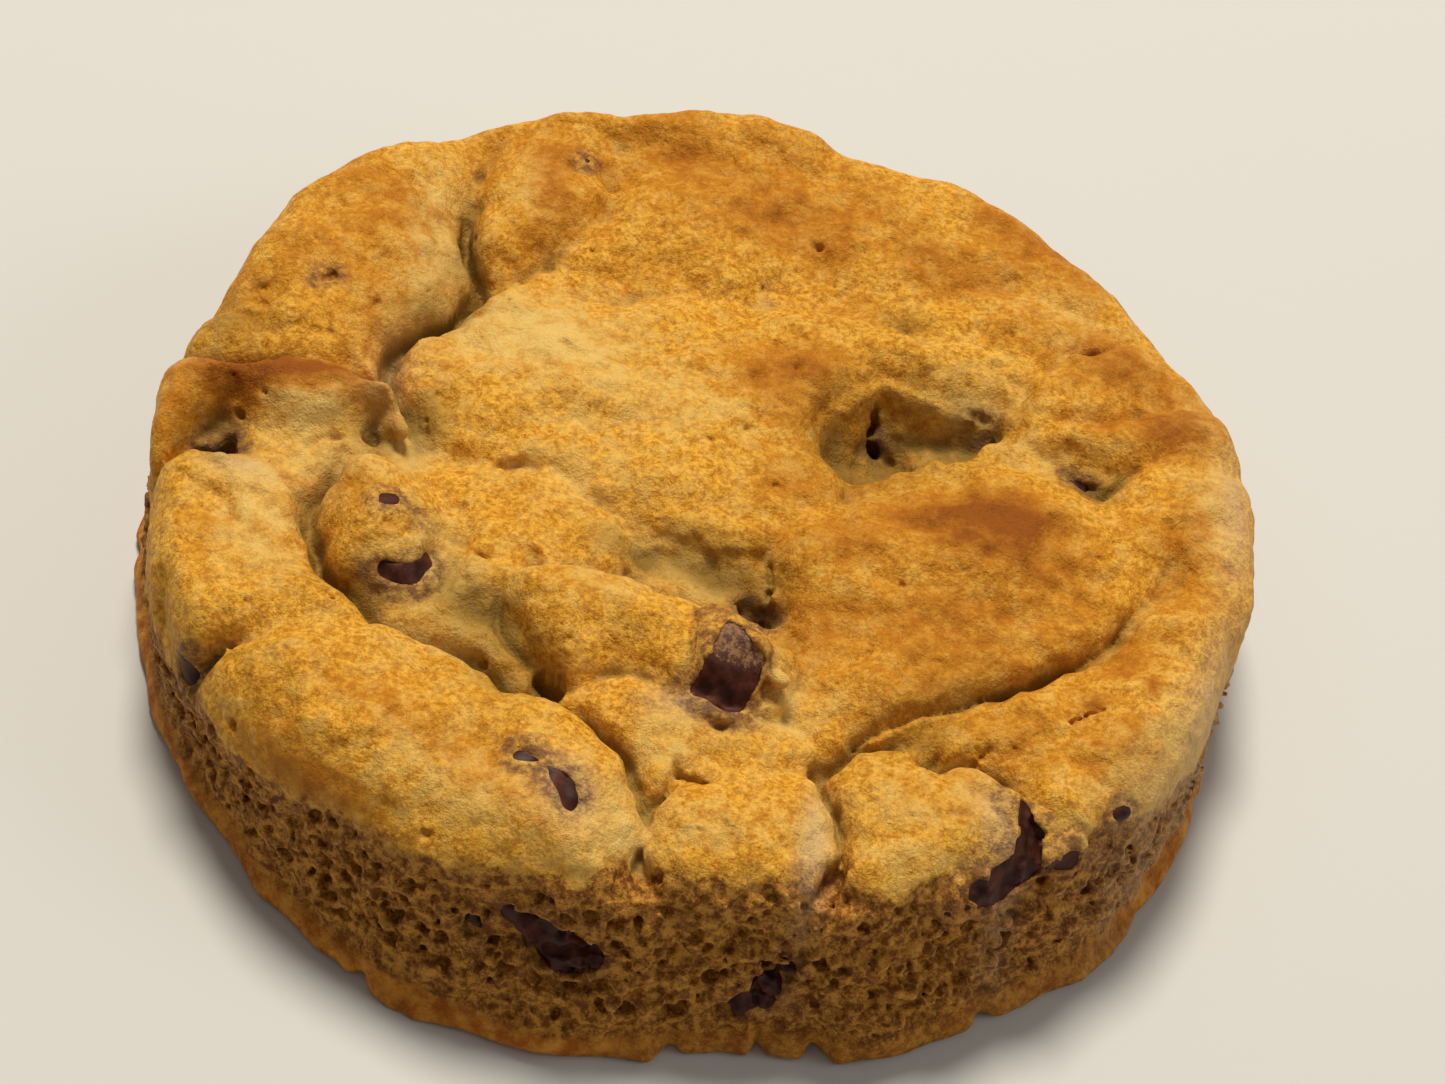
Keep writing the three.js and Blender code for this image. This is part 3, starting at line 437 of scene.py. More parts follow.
class Field:
    """The dough: a signed distance in millimetres, negative inside."""

    def __init__(self):
        self.drift_x = 0.50 * flat_noise(6) + 0.20 * flat_noise(2.2)
        self.drift_y = 0.50 * flat_noise(6) + 0.20 * flat_noise(2.2)
        self.drift_x += 0.10 * flat_noise(1.1)
        self.drift_y += 0.10 * flat_noise(1.1)
        self.swell = 0.30 * flat_noise(5) + 0.14 * flat_noise(2.4)
        self.rim_depth = self.wall_depth()
        plateau = PLATEAU_Z + self.swell
        self.value = rounded_slab(self.rim_depth, zs - plateau[:, :, None], RIM_ROUND)

    def wall_depth(self):
        """How far inside the outer wall each point lies."""
        wobble = 0.3 * flat_noise(7)
        rim = (around(OUTLINE, ANGLE) + wobble - RADIUS)[:, :, None]
        waist = (around(FOOT_OUTLINE, ANGLE) + wobble - RADIUS)[:, :, None] - FOOT_LIP
        climb = smoothstep(FOOT_Z - 1, WALL_TOP_Z, zs)
        height = (FOOT_Z + 1.2 + 0.5 * flat_noise(4))[:, :, None]
        bulge = np.sin(np.pi * np.clip((zs + 0.9) / height, 0, 1))
        lip = (FOOT_LIP * (1 + 0.2 * flat_noise(3)))[:, :, None]
        notch = notch_depth() * (1 + 0.12 * flat_noise(1.6))
        fade = np.clip(1 - zs / (FOOT_Z + 1.5), 0, 1)
        return waist + (rim - waist) * climb + lip * bulge - notch[:, :, None] * fade

    def block(self, low, high):
        """Index ranges of the part of the grid between two corners."""
        ranges = []
        for axis, a, b in zip((xs, xs, zs), low, high):
            start = int(np.clip((a - axis[0]) / VOXEL, 0, len(axis) - 1))
            stop = int(np.clip((b - axis[0]) / VOXEL + 2, 1, len(axis)))
            ranges.append(slice(start, max(stop, start + 1)))
        return tuple(ranges)

    def add_lobe(self, lobe):
        outline = soften_outline(lobe.outline)
        margin = 2 + lobe.blend
        low = np.maximum(outline.min(0) - margin, -REACH)
        high = np.minimum(outline.max(0) + margin, REACH)
        i, j, k = self.block((*low, LOBE_LOW_Z), (*high, TOP))
        x = X[i, j] + self.drift_x[i, j]
        y = Y[i, j] + self.drift_y[i, j]
        depth = inside_distance(outline, x, y) + GROW
        reach = np.clip(depth / lobe.width, 0, 1)
        crest = lobe.edge + (lobe.crest - lobe.edge) * (1 - (1 - reach) ** 2) + self.swell[i, j]
        over = zs[k] - crest[:, :, None]
        slab = rounded_slab(depth[:, :, None], over, lobe.rounding)
        rim = rounded_slab(self.rim_depth[i, j, k], over, lobe.rim)
        self.value[i, j, k] = smooth_min(self.value[i, j, k], smooth_max(slab, rim, 1.2), lobe.blend)

    def ellipsoid(self, centre, half, turn, blend):
        """A block of the grid around an ellipsoid, and the distance to that ellipsoid there."""
        size = max(half) + blend + VOXEL
        block = self.block(np.subtract(centre, size), np.add(centre, size))
        x, y, z = [axis - middle for axis, middle in zip(block_axes(block), centre)]
        c, s = math.cos(math.radians(turn)), math.sin(math.radians(turn))
        along, across = (x * c + y * s) / half[0], (y * c - x * s) / half[1]
        reach = np.sqrt(along ** 2 + across ** 2 + (z / half[2]) ** 2)
        return block, (reach - 1) * min(half)

    def carve(self, centre, half, turn, blend):
        """Takes an ellipsoid away."""
        block, distance = self.ellipsoid(centre, half, turn, blend)
        self.value[block] = smooth_max(self.value[block], -distance, blend)

    def heap(self, centre, half, blend):
        """Adds an ellipsoid."""
        block, distance = self.ellipsoid(centre, half, 0, blend)
        self.value[block] = smooth_min(self.value[block], distance, blend)

    def sink(self, pit):
        """Lowers the top inside an outline to a rounded floor."""
        outline = soften_outline(pit["outline"])
        i, j, k = self.block((*outline.min(0) - 3, LOBE_LOW_Z), (*outline.max(0) + 3, TOP))
        x = X[i, j] + 1.5 * self.drift_x[i, j]
        y = Y[i, j] + 1.5 * self.drift_y[i, j]
        depth = inside_distance(outline, x, y)
        reach = np.clip(depth / pit["width"], 0, 1)
        floor = pit["lip"] - pit["depth"] * (1 - (1 - reach) ** 2) + 3 * np.clip(-depth, 0, None)
        floor += pit["climb"] * np.clip(X[i, j] - outline[:, 0].mean(), 0, None) + 1.4 * self.swell[i, j]
        self.value[i, j, k] = smooth_max(self.value[i, j, k], (zs[k] - floor[:, :, None]) * 0.7, 0.7)

    def on_skin(self, point):
        """A point as given, or on the skin of the wall or the top where it is named so."""
        if point[0] == "wall":
            _, angle, z = point
            r = self.wall_at(angle, z)
            return (r * math.cos(angle), r * math.sin(angle), z)
        return point if len(point) == 3 else (*point, self.top_at(*point))

    def wall_at(self, angle, z):
        """Radius of the wall's skin in a direction and at a height."""
        r = np.arange(REACH - 1, WALL_INNER - 1, -VOXEL / 2)
        i = ((r * math.cos(angle) + REACH) / VOXEL).astype(int)
        j = ((r * math.sin(angle) + REACH) / VOXEL).astype(int)
        inside = self.value[i, j, int((z - zs[0]) / VOXEL)] < 0
        return r[np.argmax(inside)]

    def top_at(self, x, y):
        """Height of the skin at a place seen from above."""
        column = self.value[int((x + REACH) / VOXEL), int((y + REACH) / VOXEL)]
        inside = np.nonzero(column < 0)[0]
        return zs[inside[-1]] if len(inside) else 0.0


def crease_map(field):
    """Depth of the creases at each place seen from above."""
    depth = np.zeros_like(X)
    x, y = X + field.drift_x, Y + field.drift_y
    for line in CREASES:
        for a, b in zip(line, line[1:]):
            a, edge = np.array(a), np.subtract(b, a)
            t = np.clip(((x - a[0]) * edge[0] + (y - a[1]) * edge[1]) / (edge[:2] @ edge[:2]), 0, 1)
            away = np.hypot(x - a[0] - t * edge[0], y - a[1] - t * edge[1])
            depth = np.maximum(depth, (a[2] + t * edge[2]) * np.exp(-(away / CREASE_WIDTH) ** 1.5))
    return depth


def string_of_holes(x, y, z, points):
    """Distance to a row of round holes joined in a line."""
    best = None
    for (a, ra), (b, rb) in zip(points, points[1:] or points):
        a, edge = np.array(a), np.subtract(b, a)
        dx, dy, dz = x - a[0], y - a[1], z - a[2]
        t = np.clip((dx * edge[0] + dy * edge[1] + dz * edge[2]) / max(edge @ edge, 1e-9), 0, 1)
        d = np.sqrt((dx - t * edge[0]) ** 2 + (dy - t * edge[1]) ** 2 + (dz - t * edge[2]) ** 2)
        d = d - (ra * (1 - t) + rb * t)
        best = d if best is None else np.minimum(best, d)
    return best


def open_crumb(field):
    """Tears the wall open: uneven, full of small pores and crumbs."""
    edge = around(CRUST_EDGE, ANGLE)[:, :, None] + 0.8 * flat_noise(3)[:, :, None]
    open_part = smoothstep(6.0, 3.0, field.rim_depth) * smoothstep(1.5, -1.5, zs - edge)
    open_part = open_part * smoothstep(FOOT_Z - 1.2, FOOT_Z + 0.6, zs)
    torn = 0.14 * deep_noise(2.6) + 0.15 * deep_noise(1.2) + 0.17 * deep_noise(0.6)
    field.value += open_part * (torn + 0.2)
    for degrees, z, size in WALL_PITS:
        place = field.on_skin(wall(degrees, z))
        field.carve(place, (size * 1.3, size, size * 0.8), degrees, 0.2)
    for _ in range(PORES):
        half = (0.2 + rng.gamma(1.2, 0.13)) * rng.uniform(0.7, 1.4, 3)
        field.carve(point_on_wall(field, 0.1), np.clip(half, 0.2, 0.9), rng.uniform(0, 180), 0.12)
    for _ in range(CRUMBS):
        half = rng.uniform(0.22, 0.42, 3)
        field.heap(point_on_wall(field, 0.0), half, 0.08)
    for _ in range(LARGE_CRUMBS):
        place = field.on_skin(wall(rng.uniform(*LARGE_CRUMB_DEGREES), rng.uniform(4, 14)))
        field.heap(place, rng.uniform(0.45, 0.85, 3), 0.15)


def point_on_wall(field, inset):
    """A random point just under the skin of the open part of the wall."""
    angle = rng.uniform(0, math.tau)
    z = rng.triangular(FOOT_Z + 0.2, 9.0, float(around(CRUST_EDGE, angle)) + 0.5)
    r = field.wall_at(angle, z) - inset
    return (r * math.cos(angle), r * math.sin(angle), z)


def break_skin(field):
    """Small pinholes and cracks of the crust."""
    for _ in range(PINHOLES):
        angle = rng.uniform(0, math.tau)
        r = PINHOLE_REACH * math.sqrt(rng.uniform(0, 1))
        x, y = r * math.cos(angle), r * math.sin(angle)
        size = 0.2 + rng.gamma(1.5, 0.07)
        half = (size * rng.uniform(1.0, 1.8), size, size)
        field.carve((x, y, field.top_at(x, y) + 0.15), half, rng.uniform(0, 180), 0.2)
    for half, line in CRACKS:
        for (ax, ay), (bx, by) in zip(line, line[1:]):
            for t in np.linspace(0, 1, 9):
                x, y = ax + (bx - ax) * t, ay + (by - ay) * t
                jitter = rng.uniform(-0.15, 0.15, 2)
                place = (x + jitter[0], y + jitter[1], field.top_at(x, y))
                field.carve(place, (half * 1.4, half, half * 1.6), rng.uniform(0, 180), 0.2)


def build_field():
    field = Field()
    for lobe in LOBES.values():
        field.add_lobe(lobe)
    field.sink(CRATER)
    for centre, half, turn, blend in HOLLOWS:
        field.carve(centre, half, turn, blend)
    for centre, half in HUMPS:
        field.heap(centre, half, 0.6)
    field.value += crease_map(field)[:, :, None] * smoothstep(12.0, 15.0, zs)
    # Waves and grain of the skin, half as strong at the rim.
    inward = 0.5 + 0.5 * smoothstep(0.5, RIM_ROUND, field.rim_depth)
    field.value += 0.15 * flat_noise(3.4)[:, :, None] * inward
    grain = 0.12 * deep_noise(2.0) + 0.10 * deep_noise(1.0) + 0.08 * deep_noise(0.65)
    field.value += grain * inward
    rough = spot_map([CRATER_ROUGH])[:, :, None] * smoothstep(19.5, 17.5, zs)
    field.value += rough * (0.16 * deep_noise(1.5) + 0.12 * deep_noise(0.7))
    break_skin(field)
    open_crumb(field)
    return field


def chip_distance(name, block, lines):
    """Distance to a chip on part of the grid: the frame's shape, melted towards its openings."""
    mesh = modified(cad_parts[name].data, ("REMESH", dict(mode="VOXEL", voxel_size=CHIP_VOXEL * MM)),
                    ("SMOOTH", dict(iterations=10)))
    mesh.calc_loop_triangles()
    faces = np.empty(len(mesh.loop_triangles) * 3, np.int32)
    mesh.loop_triangles.foreach_get("vertices", faces)
    index = (mesh_points(mesh) - [xs[0], xs[0], zs[0]]) / VOXEL
    grid = vdb.FloatGrid.createLevelSetFromPolygons(
        index, triangles=faces.reshape(-1, 3).astype(np.uint32), halfWidth=8.0)
    distance = np.empty([b.stop - b.start for b in block], np.float32)
    grid.copyToArray(distance, ijk=tuple(b.start for b in block))
    distance *= VOXEL
    hole = np.full(distance.shape, 9.0, np.float32)
    for line in lines:
        hole = np.minimum(hole, string_of_holes(*block_axes(block), line))
    distance = smooth_min(distance, hole - CHIP_SPREAD, 0.8)
    return distance, hole


def embed_chips(field):
    """Closes the skin over every chip, then opens the windows. Returns the chips' own distances
    with their places on the grid, and the distance to the nearest chip."""
    nearest = np.full(field.value.shape, 3.0, np.float32)
    rough = 0.22 * deep_noise(1.3)
    dents = 0.12 * deep_noise(1.6)
    chips = {}
    for name in CHIPS:
        low, high = [(np.array(corner) - np.array(SHIFT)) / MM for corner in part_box(name)]
        lines = [[(field.on_skin(p[:-1]), p[-1]) for p in line] for line in WINDOWS[name]]
        ends = [low, high] + [np.array(p) for line in lines for p, _ in line]
        block = field.block(np.min(ends, axis=0) - 4, np.max(ends, axis=0) + 4)
        distance, hole = chip_distance(name, block, lines)
        proud = PROUD.get(name, PROUD_OTHERS)
        buried = min(proud, BURIED)
        skin = field.value[block] - buried - (proud - buried) * smoothstep(2.2, 0.2, hole)
        distance = smooth_max(distance, skin, 0.6) + dents[block]
        distance = np.maximum(distance, -zs[block[2]])
        dough = field.value[block]
        if proud > 0:
            dough = smooth_min(dough, distance - SKIN * smoothstep(3.5, 1.0, hole), 0.6)
        hole = np.maximum(hole + rough[block], distance - 1.5)
        field.value[block] = smooth_max(dough, -hole, 0.3)
        nearest[block] = np.minimum(nearest[block], np.maximum(distance, hole - STAIN_REACH))
        chips[name] = (distance, block)
    field.value = smooth_max(field.value, -zs, 0.5)
    return chips, nearest


def surface_mesh(values, start, name):
    """The zero surface of a block of the grid as a closed mesh of quads."""
    grid = vdb.FloatGrid(background=3.0)
    grid.copyFromArray(np.ascontiguousarray(np.clip(values, -3, 3), dtype=np.float32))
    points, quads = grid.convertToQuads(isovalue=0.0)
    points = (points + start) * VOXEL + np.array([xs[0], xs[0], zs[0]])
    mesh = bpy.data.meshes.new(name)
    mesh.vertices.add(len(points))
    set_mesh_points(mesh, points)
    mesh.loops.add(len(quads) * 4)
    mesh.loops.foreach_set("vertex_index", quads.astype(np.int32).ravel())
    mesh.polygons.add(len(quads))
    mesh.polygons.foreach_set("loop_start", np.arange(0, len(quads) * 4, 4, dtype=np.int32))
    mesh.update(calc_edges=True)
    mesh.validate()
    return mesh, points


# ---------------------------------------------------------------- colour masks on the dough
# Browner places on the top: centre, half lengths, turn in degrees and strength.
BROWN_SPOTS = [
    (26.4, -0.2, 8, 4.4, -8, 1.1), (23, -1.6, 10, 5, 0, 0.7), (17, -6, 8, 4, 20, 0.5),
    (-40, 4.4, 9, 2.8, 8, 1.1), (-47.5, -1.5, 3, 3, 0, 0.6), (-36, 24, 9, 14, 20, 0.5),
    (-44, 15, 5, 6, 0, 0.4), (-25, 39, 5, 8, 0, 0.4), (-19, 38, 4, 9, 0, 0.7), (-12, 46, 6, 4, 0, 0.5),
    (0, 40, 20, 9, 0, 0.6), (21, 34, 9, 5, -12, 0.6), (36, 23.5, 6, 5, 50, 0.7), (42, 15.6, 6, 4, 10, 0.8),
    (30, 38, 12, 6, -40, 0.6), (7, 15, 8, 7, 0, 0.65), (12, 26, 8, 4, 0, 0.3), (-42, -15, 3, 6, 10, 0.3),
    (-30, -9, 4, 6, 10, 0.4), (-26, -29, 12, 4, -25, 0.3), (-20, -33, 13, 3.5, -25, 0.3),
    (-6, -17, 7, 4, -10, 0.15), (8, -36, 6, 5, 0, 0.25), (40, -12, 4, 8, -40, 0.5),
    (34, -20, 13, 5, 45, 0.35), (10, 4, 7, 7, 0, 0.4), (44, 0, 5, 12, 0, 0.5), (22, -12, 14, 8, 15, 0.6),
    (32, -8, 9, 9, 0, 0.5), (38, -23, 4, 6, -40, 0.4), (41.5, -16, 1, 1.6, 0, 0.9),
    (36.5, -18.5, 1.8, 0.8, 30, 0.9), (37, -23.5, 1.2, 0.7, 0, 0.8), (14, -5, 6, 4, 0, 0.7),
    (12, 8, 6, 4, 0, 0.5), (-27, -40, 10, 2.8, -33, 0.8), (27, -3.8, 9, 3.6, 0, 0.95),
    (-32, 31, 8, 7, 0, 0.25), (28, 29, 8, 5, -40, 0.35), (40, 20, 8, 6, 50, 0.4),
    (37.3, 15.5, 5, 3.5, 20, 0.7),
]

# Paler, greyer places, where the dough was sheltered.
PALE_SPOTS = [
    (-28, 24, 3, 12, 8, 1), (-18, 16, 11, 6, -10, 1), (-33, -3, 5, 5, 0, 0.9), (-8, 10, 12, 5, 0, 0.5),
    (24, 17, 6, 4, 0, 0.5), (34, 28, 8, 4, -40, 0.4), (0, -9, 8, 4, -20, 0.6), (-20, -20, 9, 4, -25, 0.5),
    (-27, 2, 4, 5, 0, 0.7), (44, -22, 4, 12, -35, 0.5), (38, -34, 6, 6, 0, 0.5), (14, -38, 2, 6, 0, 0.7),
    (-2, -40, 4, 6, 0, 0.8), (45, 18, 3, 6, 0, 0.6), (-38, -10, 4, 9, 10, 0.7), (-48, 5, 3, 3, 0, 0.8),
    (-41, -6, 4, 2, 0, 0.7), (10, -23, 4, 4, 0, 0.6), (0, -30, 4, 3, 0, 0.6), (-33, 4.5, 4, 1.5, 0, 0.8),
    (-22, -12, 2.5, 5, 0, 0.6), (-10, 0, 8, 4, 0, 0.4), (30, 12, 4, 2, 0, 0.5), (-14, -38, 10, 4, -20, 0.4),
    (47, 8, 3, 8, 0, 0.6), (-20, 36, 3, 4, 0, 0.5), (-36, 1.2, 5, 2.2, 0, 1), (-20, -15, 6, 4, -20, 0.6),
    (-7, -14, 5, 3, 0, 0.5), (5, -38, 4, 2, 0, 0.5), (22, -38, 5, 2.4, 0, 0.5), (27, -31, 2.4, 3, 0, 0.6),
    (21, -33, 4, 3, 0, 0.4),
]

# Whitish, dry places.
DRY_SPOTS = [
    (48.5, -13, 3, 11, -18, 0.6), (44, -26, 3.5, 7, -40, 0.35), (14, -37, 1.4, 5, 0, 0.6),
    (49, 6, 2, 10, 0, 0.5), (-30, 9, 2, 5, 0, 0.4), (-7, -37.5, 2.4, 3.5, 20, 0.6),
    (1, -25.5, 3, 2, 0, 0.5), (-40, -6.5, 3, 1.6, 0, 0.5), (29.4, -34, 1.6, 4, 20, 0.6),
]

# Painted shade: darker olive places in the hollows, valleys and crater, where shade falls.
PAINTED_SHADE_SPOTS = [
    (17.5, 11.5, 7.5, 6, 20, 0.8), (24.5, 16, 4, 2.5, -30, 0.8), (35.5, 9, 3, 2, -20, 0.9),
    (5, -9, 5, 4, -20, 0.7), (-25.5, 4.5, 2.5, 3, 0, 0.8), (-30, 1, 3, 3, 0, 0.6), (17, 25.5, 3, 2, 0, 0.6),
    (-43, -3, 2.5, 3, 0, 0.9), (-45, 11, 4, 3, 0, 0.7), (-14, -24, 3, 4, 0, 0.7), (22, -24, 4, 2, 40, 0.6),
    (-27, -17, 5, 2.5, 10, 0.6), (-24.5, 22, 2, 5, 0, 0.4), (4, -25.5, 4, 1.5, -10, 0.5),
    (-42, -28.5, 2.5, 3.5, 0, 0.8), (14, 9, 5, 5, 0, 0.8), (3, -8, 7, 2.6, -14, 1),
    (-4, -7.6, 5, 1.8, -5, 0.8), (-18, -17.4, 4.5, 2.8, -30, 0.9), (-14.6, -19.8, 4, 2, -35, 0.7),
    (-13.6, -21, 4, 2.6, -35, 0.7), (24, -19, 7, 1.6, 32, 0.5), (-28.6, 17, 2, 4, -30, 0.6),
    (-25.6, 26, 1.4, 5, 0, 0.7),
]

# Places where melted chocolate has tinted the dough.
STAIN_SPOTS = [
    (-24.4, -9.8, 2.6, 1.7, -35, 1), (-27.4, -15.2, 1.6, 0.9, 0, 0.8), (-37.4, 17.4, 1.4, 0.8, 40, 0.5),
    (-16, 40.8, 1, 0.7, 0, 0.5), (4.6, -17, 1.6, 1.2, 0, 0.5),
]

# Directions in degrees where the foot begins to look like open crumb, and where it has stopped.
WORN_FROM, WORN_TO = (266, 274), (332, 322)


def blur(values, sigma):
    """Gaussian blur of a map over the grid."""
    freq = np.fft.fftfreq(values.shape[0], VOXEL)
    kernel = np.exp(-2 * (math.pi * sigma * freq) ** 2)
    return np.fft.ifft2(np.fft.fft2(values) * kernel[:, None] * kernel[None, :]).real


def spot_map(spots):
    """The strength of these spots at each place seen from above."""
    result = np.zeros_like(X)
    for cx, cy, a, b, turn, strength in spots:
        c, s = math.cos(math.radians(turn)), math.sin(math.radians(turn))
        dx, dy = X - cx, Y - cy
        reach = ((dx * c + dy * s) / a) ** 2 + ((dy * c - dx * s) / b) ** 2
        result = np.maximum(result, strength * np.exp(-reach))
    return result


def sample_map(values, points):
    """Values of a map at points, read between its cells."""
    u = np.clip((points[:, 0] + REACH) / VOXEL, 0, values.shape[0] - 1.001)
    v = np.clip((points[:, 1] + REACH) / VOXEL, 0, values.shape[1] - 1.001)
    i, j = u.astype(int), v.astype(int)
    f, g = u - i, v - j
    return ((1 - f) * (1 - g) * values[i, j] + f * (1 - g) * values[i + 1, j]
            + (1 - f) * g * values[i, j + 1] + f * g * values[i + 1, j + 1])


def spots_at(spots, points):
    """The strength of these spots at points of the skin."""
    return sample_map(spot_map(spots), points)


def height_map(field):
    """Height of the surface seen from above, 0 outside the cookie."""
    solid = field.value < 0
    top = solid.shape[2] - 1 - np.argmax(solid[:, :, ::-1], axis=2)
    return np.where(solid.any(axis=2), zs[top], 0)


def dough_masks(field, nearest, points):
    """How brown, pale, open-crumbed, foot-like and stained each point of the skin is, and how much painted
    shade it gets.
    """
    heights = height_map(field)
    inside = (heights > 0).astype(np.float32)
    local = blur(heights, 2.0) / np.maximum(blur(inside, 2.0), 0.05)
    crease = sample_map(heights - local, points)
    crease *= smoothstep(0.5, 4.0, sample_map(field.rim_depth[:, :, -1], points))
    z = points[:, 2]
    radius = np.hypot(points[:, 0], points[:, 1])
    brown = spots_at(BROWN_SPOTS, points)
    pale = spots_at(PALE_SPOTS, points) + 0.3 * smoothstep(-0.2, -1.2, crease)
    # Painted shade: darker in the listed spots and deeper in the creases.
    painted_shade = spots_at(PAINTED_SHADE_SPOTS, points) + 0.8 * smoothstep(-0.4, -1.8, crease)
    dry = spots_at(DRY_SPOTS, points)
    angle = np.arctan2(points[:, 1], points[:, 0])
    on_wall = smoothstep(WALL_INNER, WALL_INNER + 2, radius)
    torn = smoothstep(2.6, -1.8, z - around(CRUST_EDGE, angle)) * on_wall
    degrees = np.degrees(angle) % 360
    worn = smoothstep(*WORN_FROM, degrees) * smoothstep(*WORN_TO, degrees)
    foot = smoothstep(FOOT_Z + 0.6, FOOT_Z - 0.6, z) * (1 - 0.6 * worn)
    top = 1 - np.maximum(torn, foot)
    cell = np.round((points - [xs[0], xs[0], zs[0]]) / VOXEL).astype(int)
    stain = smoothstep(1.1, 0.35, nearest[tuple(np.clip(cell, 0, np.array(nearest.shape) - 1).T)])
    stain = np.maximum(stain, spots_at(STAIN_SPOTS, points) * top)
    return {"brown": brown * top, "pale": pale * top, "wall": torn, "foot": foot, "stain": stain,
            "painted_shade": painted_shade * top, "dry": dry * (1 - foot)}


def add_masks(mesh, masks):
    for name, values in masks.items():
        attribute = mesh.attributes.new(name, "FLOAT", "POINT")
        attribute.data.foreach_set("value", np.clip(values, 0, 1).astype(np.float32))


# ---------------------------------------------------------------- node helpers
class Nodes:
    """Short calls for building a node material."""

    def __init__(self, name):
        self.material = bpy.data.materials.new(name)
        self.material.use_nodes = True
        self.tree = self.material.node_tree
        self.tree.nodes.clear()
        self.shader = self.add("ShaderNodeBsdfPrincipled")
        output = self.add("ShaderNodeOutputMaterial")
        self.tree.links.new(self.shader.outputs[0], output.inputs[0])
        self.position = self.add("ShaderNodeTexCoord").outputs["Object"]

    def add(self, kind, **settings):
        node = self.tree.nodes.new(kind)
        for key, value in settings.items():
            setattr(node, key, value)
        return node

    def set(self, socket, value):
        if isinstance(value, bpy.types.NodeSocket):
            self.tree.links.new(value, socket)
        else:
            socket.default_value = value

    def shade(self, name, value):
        self.set(self.shader.inputs[name], value)

    def noise(self, size_mm, detail, rough):
        node = self.add("ShaderNodeTexNoise")
        self.set(node.inputs["Vector"], self.position)
        self.set(node.inputs["Scale"], 1 / (size_mm * MM))
        self.set(node.inputs["Detail"], detail)
        self.set(node.inputs["Roughness"], rough)
        return node.outputs["Fac"]

    def mask(self, name):
        return self.add("ShaderNodeAttribute", attribute_name=name).outputs["Fac"]

    def fit(self, value, low, high, to_low=0.0, to_high=1.0):
        node = self.add("ShaderNodeMapRange", interpolation_type="SMOOTHSTEP")
        for socket, number in zip(node.inputs, (value, low, high, to_low, to_high)):
            self.set(socket, number)
        return node.outputs[0]

    def math(self, operation, a, b, clamp=False):
        node = self.add("ShaderNodeMath", operation=operation, use_clamp=clamp)
        self.set(node.inputs[0], a)
        self.set(node.inputs[1], b)
        return node.outputs[0]

    def plus(self, a, b, clamp=False):
        return self.math("ADD", a, b, clamp)

    def times(self, a, b):
        return self.math("MULTIPLY", a, b)

    def mix(self, factor, a, b):
        node = self.add("ShaderNodeMix", data_type="RGBA")
        self.set(node.inputs["Factor"], factor)
        self.set(node.inputs[6], a)
        self.set(node.inputs[7], b)
        return node.outputs[2]

    def bump(self, height, depth_mm, strength, before=None):
        node = self.add("ShaderNodeBump")
        self.set(node.inputs["Height"], height)
        self.set(node.inputs["Distance"], depth_mm * MM)
        self.set(node.inputs["Strength"], strength)
        if before is not None:
            self.set(node.inputs["Normal"], before)
        return node.outputs["Normal"]


def srgb(red, green, blue):
    """A colour given as 0-255 screen values, as the linear colour that nodes take."""
    values = [v / 255 for v in (red, green, blue)]
    return tuple(v / 12.92 if v <= 0.04045 else ((v + 0.055) / 1.055) ** 2.4 for v in values) + (1.0,)


def dough_material():
    n = Nodes("baked_dough")
    patches = n.noise(8, 3, 0.5)
    mottle = n.noise(2.2, 5, 0.7)
    grain = n.noise(0.6, 4, 0.75)
    brown = n.plus(n.mask("brown"), n.fit(patches, 0.36, 0.76, -0.06, 0.24))
    brown = n.plus(brown, n.fit(mottle, 0.34, 0.7, -0.14, 0.18), clamp=True)
    pale = n.plus(n.mask("pale"), n.fit(mottle, 0.35, 0.62, 0.32, -0.18), clamp=True)

    colour = n.mix(n.fit(grain, 0.34, 0.66), srgb(186, 116, 10), srgb(246, 184, 62))
    colour = n.mix(pale, colour, srgb(228, 188, 104))
    colour = n.mix(n.fit(brown, 0.0, 0.8, 0, 0.9), colour, srgb(188, 114, 14))
    colour = n.mix(n.fit(brown, 0.5, 1.2), colour, srgb(136, 66, 2))
    # Painted shade: an olive tone darkens the hollows, creases and crater.
    colour = n.mix(n.times(n.mask("painted_shade"), 0.85), colour, srgb(122, 90, 28))
    crumb = n.mix(n.fit(n.noise(0.9, 4, 0.75), 0.38, 0.64), srgb(118, 64, 8), srgb(206, 144, 56))
    torn = n.plus(n.mask("wall"), n.fit(mottle, 0.3, 0.7, -0.3, 0.3))
    colour = n.mix(n.fit(torn, 0.3, 0.7), colour, crumb)
    foot = n.mix(n.fit(mottle, 0.35, 0.65), srgb(170, 92, 10), srgb(222, 150, 54))
    colour = n.mix(n.mask("foot"), colour, foot)
    dry = n.times(n.mask("dry"), n.fit(mottle, 0.35, 0.6, 0.3, 0.8))
    colour = n.mix(dry, colour, srgb(206, 184, 152))
    patchy = n.fit(n.noise(1.1, 4, 0.7), 0.36, 0.64, 0.1, 0.85)
    patchy = n.times(patchy, n.fit(n.mask("wall"), 0.0, 1.0, 1.0, 0.35))
    smear = n.times(n.mask("stain"), patchy)
    colour = n.mix(smear, colour, srgb(112, 76, 56))

    n.shade("Base Color", colour)
    n.shade("Roughness", n.fit(grain, 0.3, 0.7, 0.48, 0.75))
    n.shade("Subsurface Weight", 0.08)
    n.shade("Subsurface Radius", (1.2 * MM, 0.6 * MM, 0.25 * MM))
    n.shade("Subsurface Scale", 1.0)
    n.shade("Specular IOR Level", 0.18)

    fine = n.bump(n.noise(0.35, 3, 0.7), 0.16, 1.0)
    middle = n.bump(n.noise(1.0, 5, 0.7), 0.42, 1.0, fine)
    n.shade("Normal", middle)
    return n.material


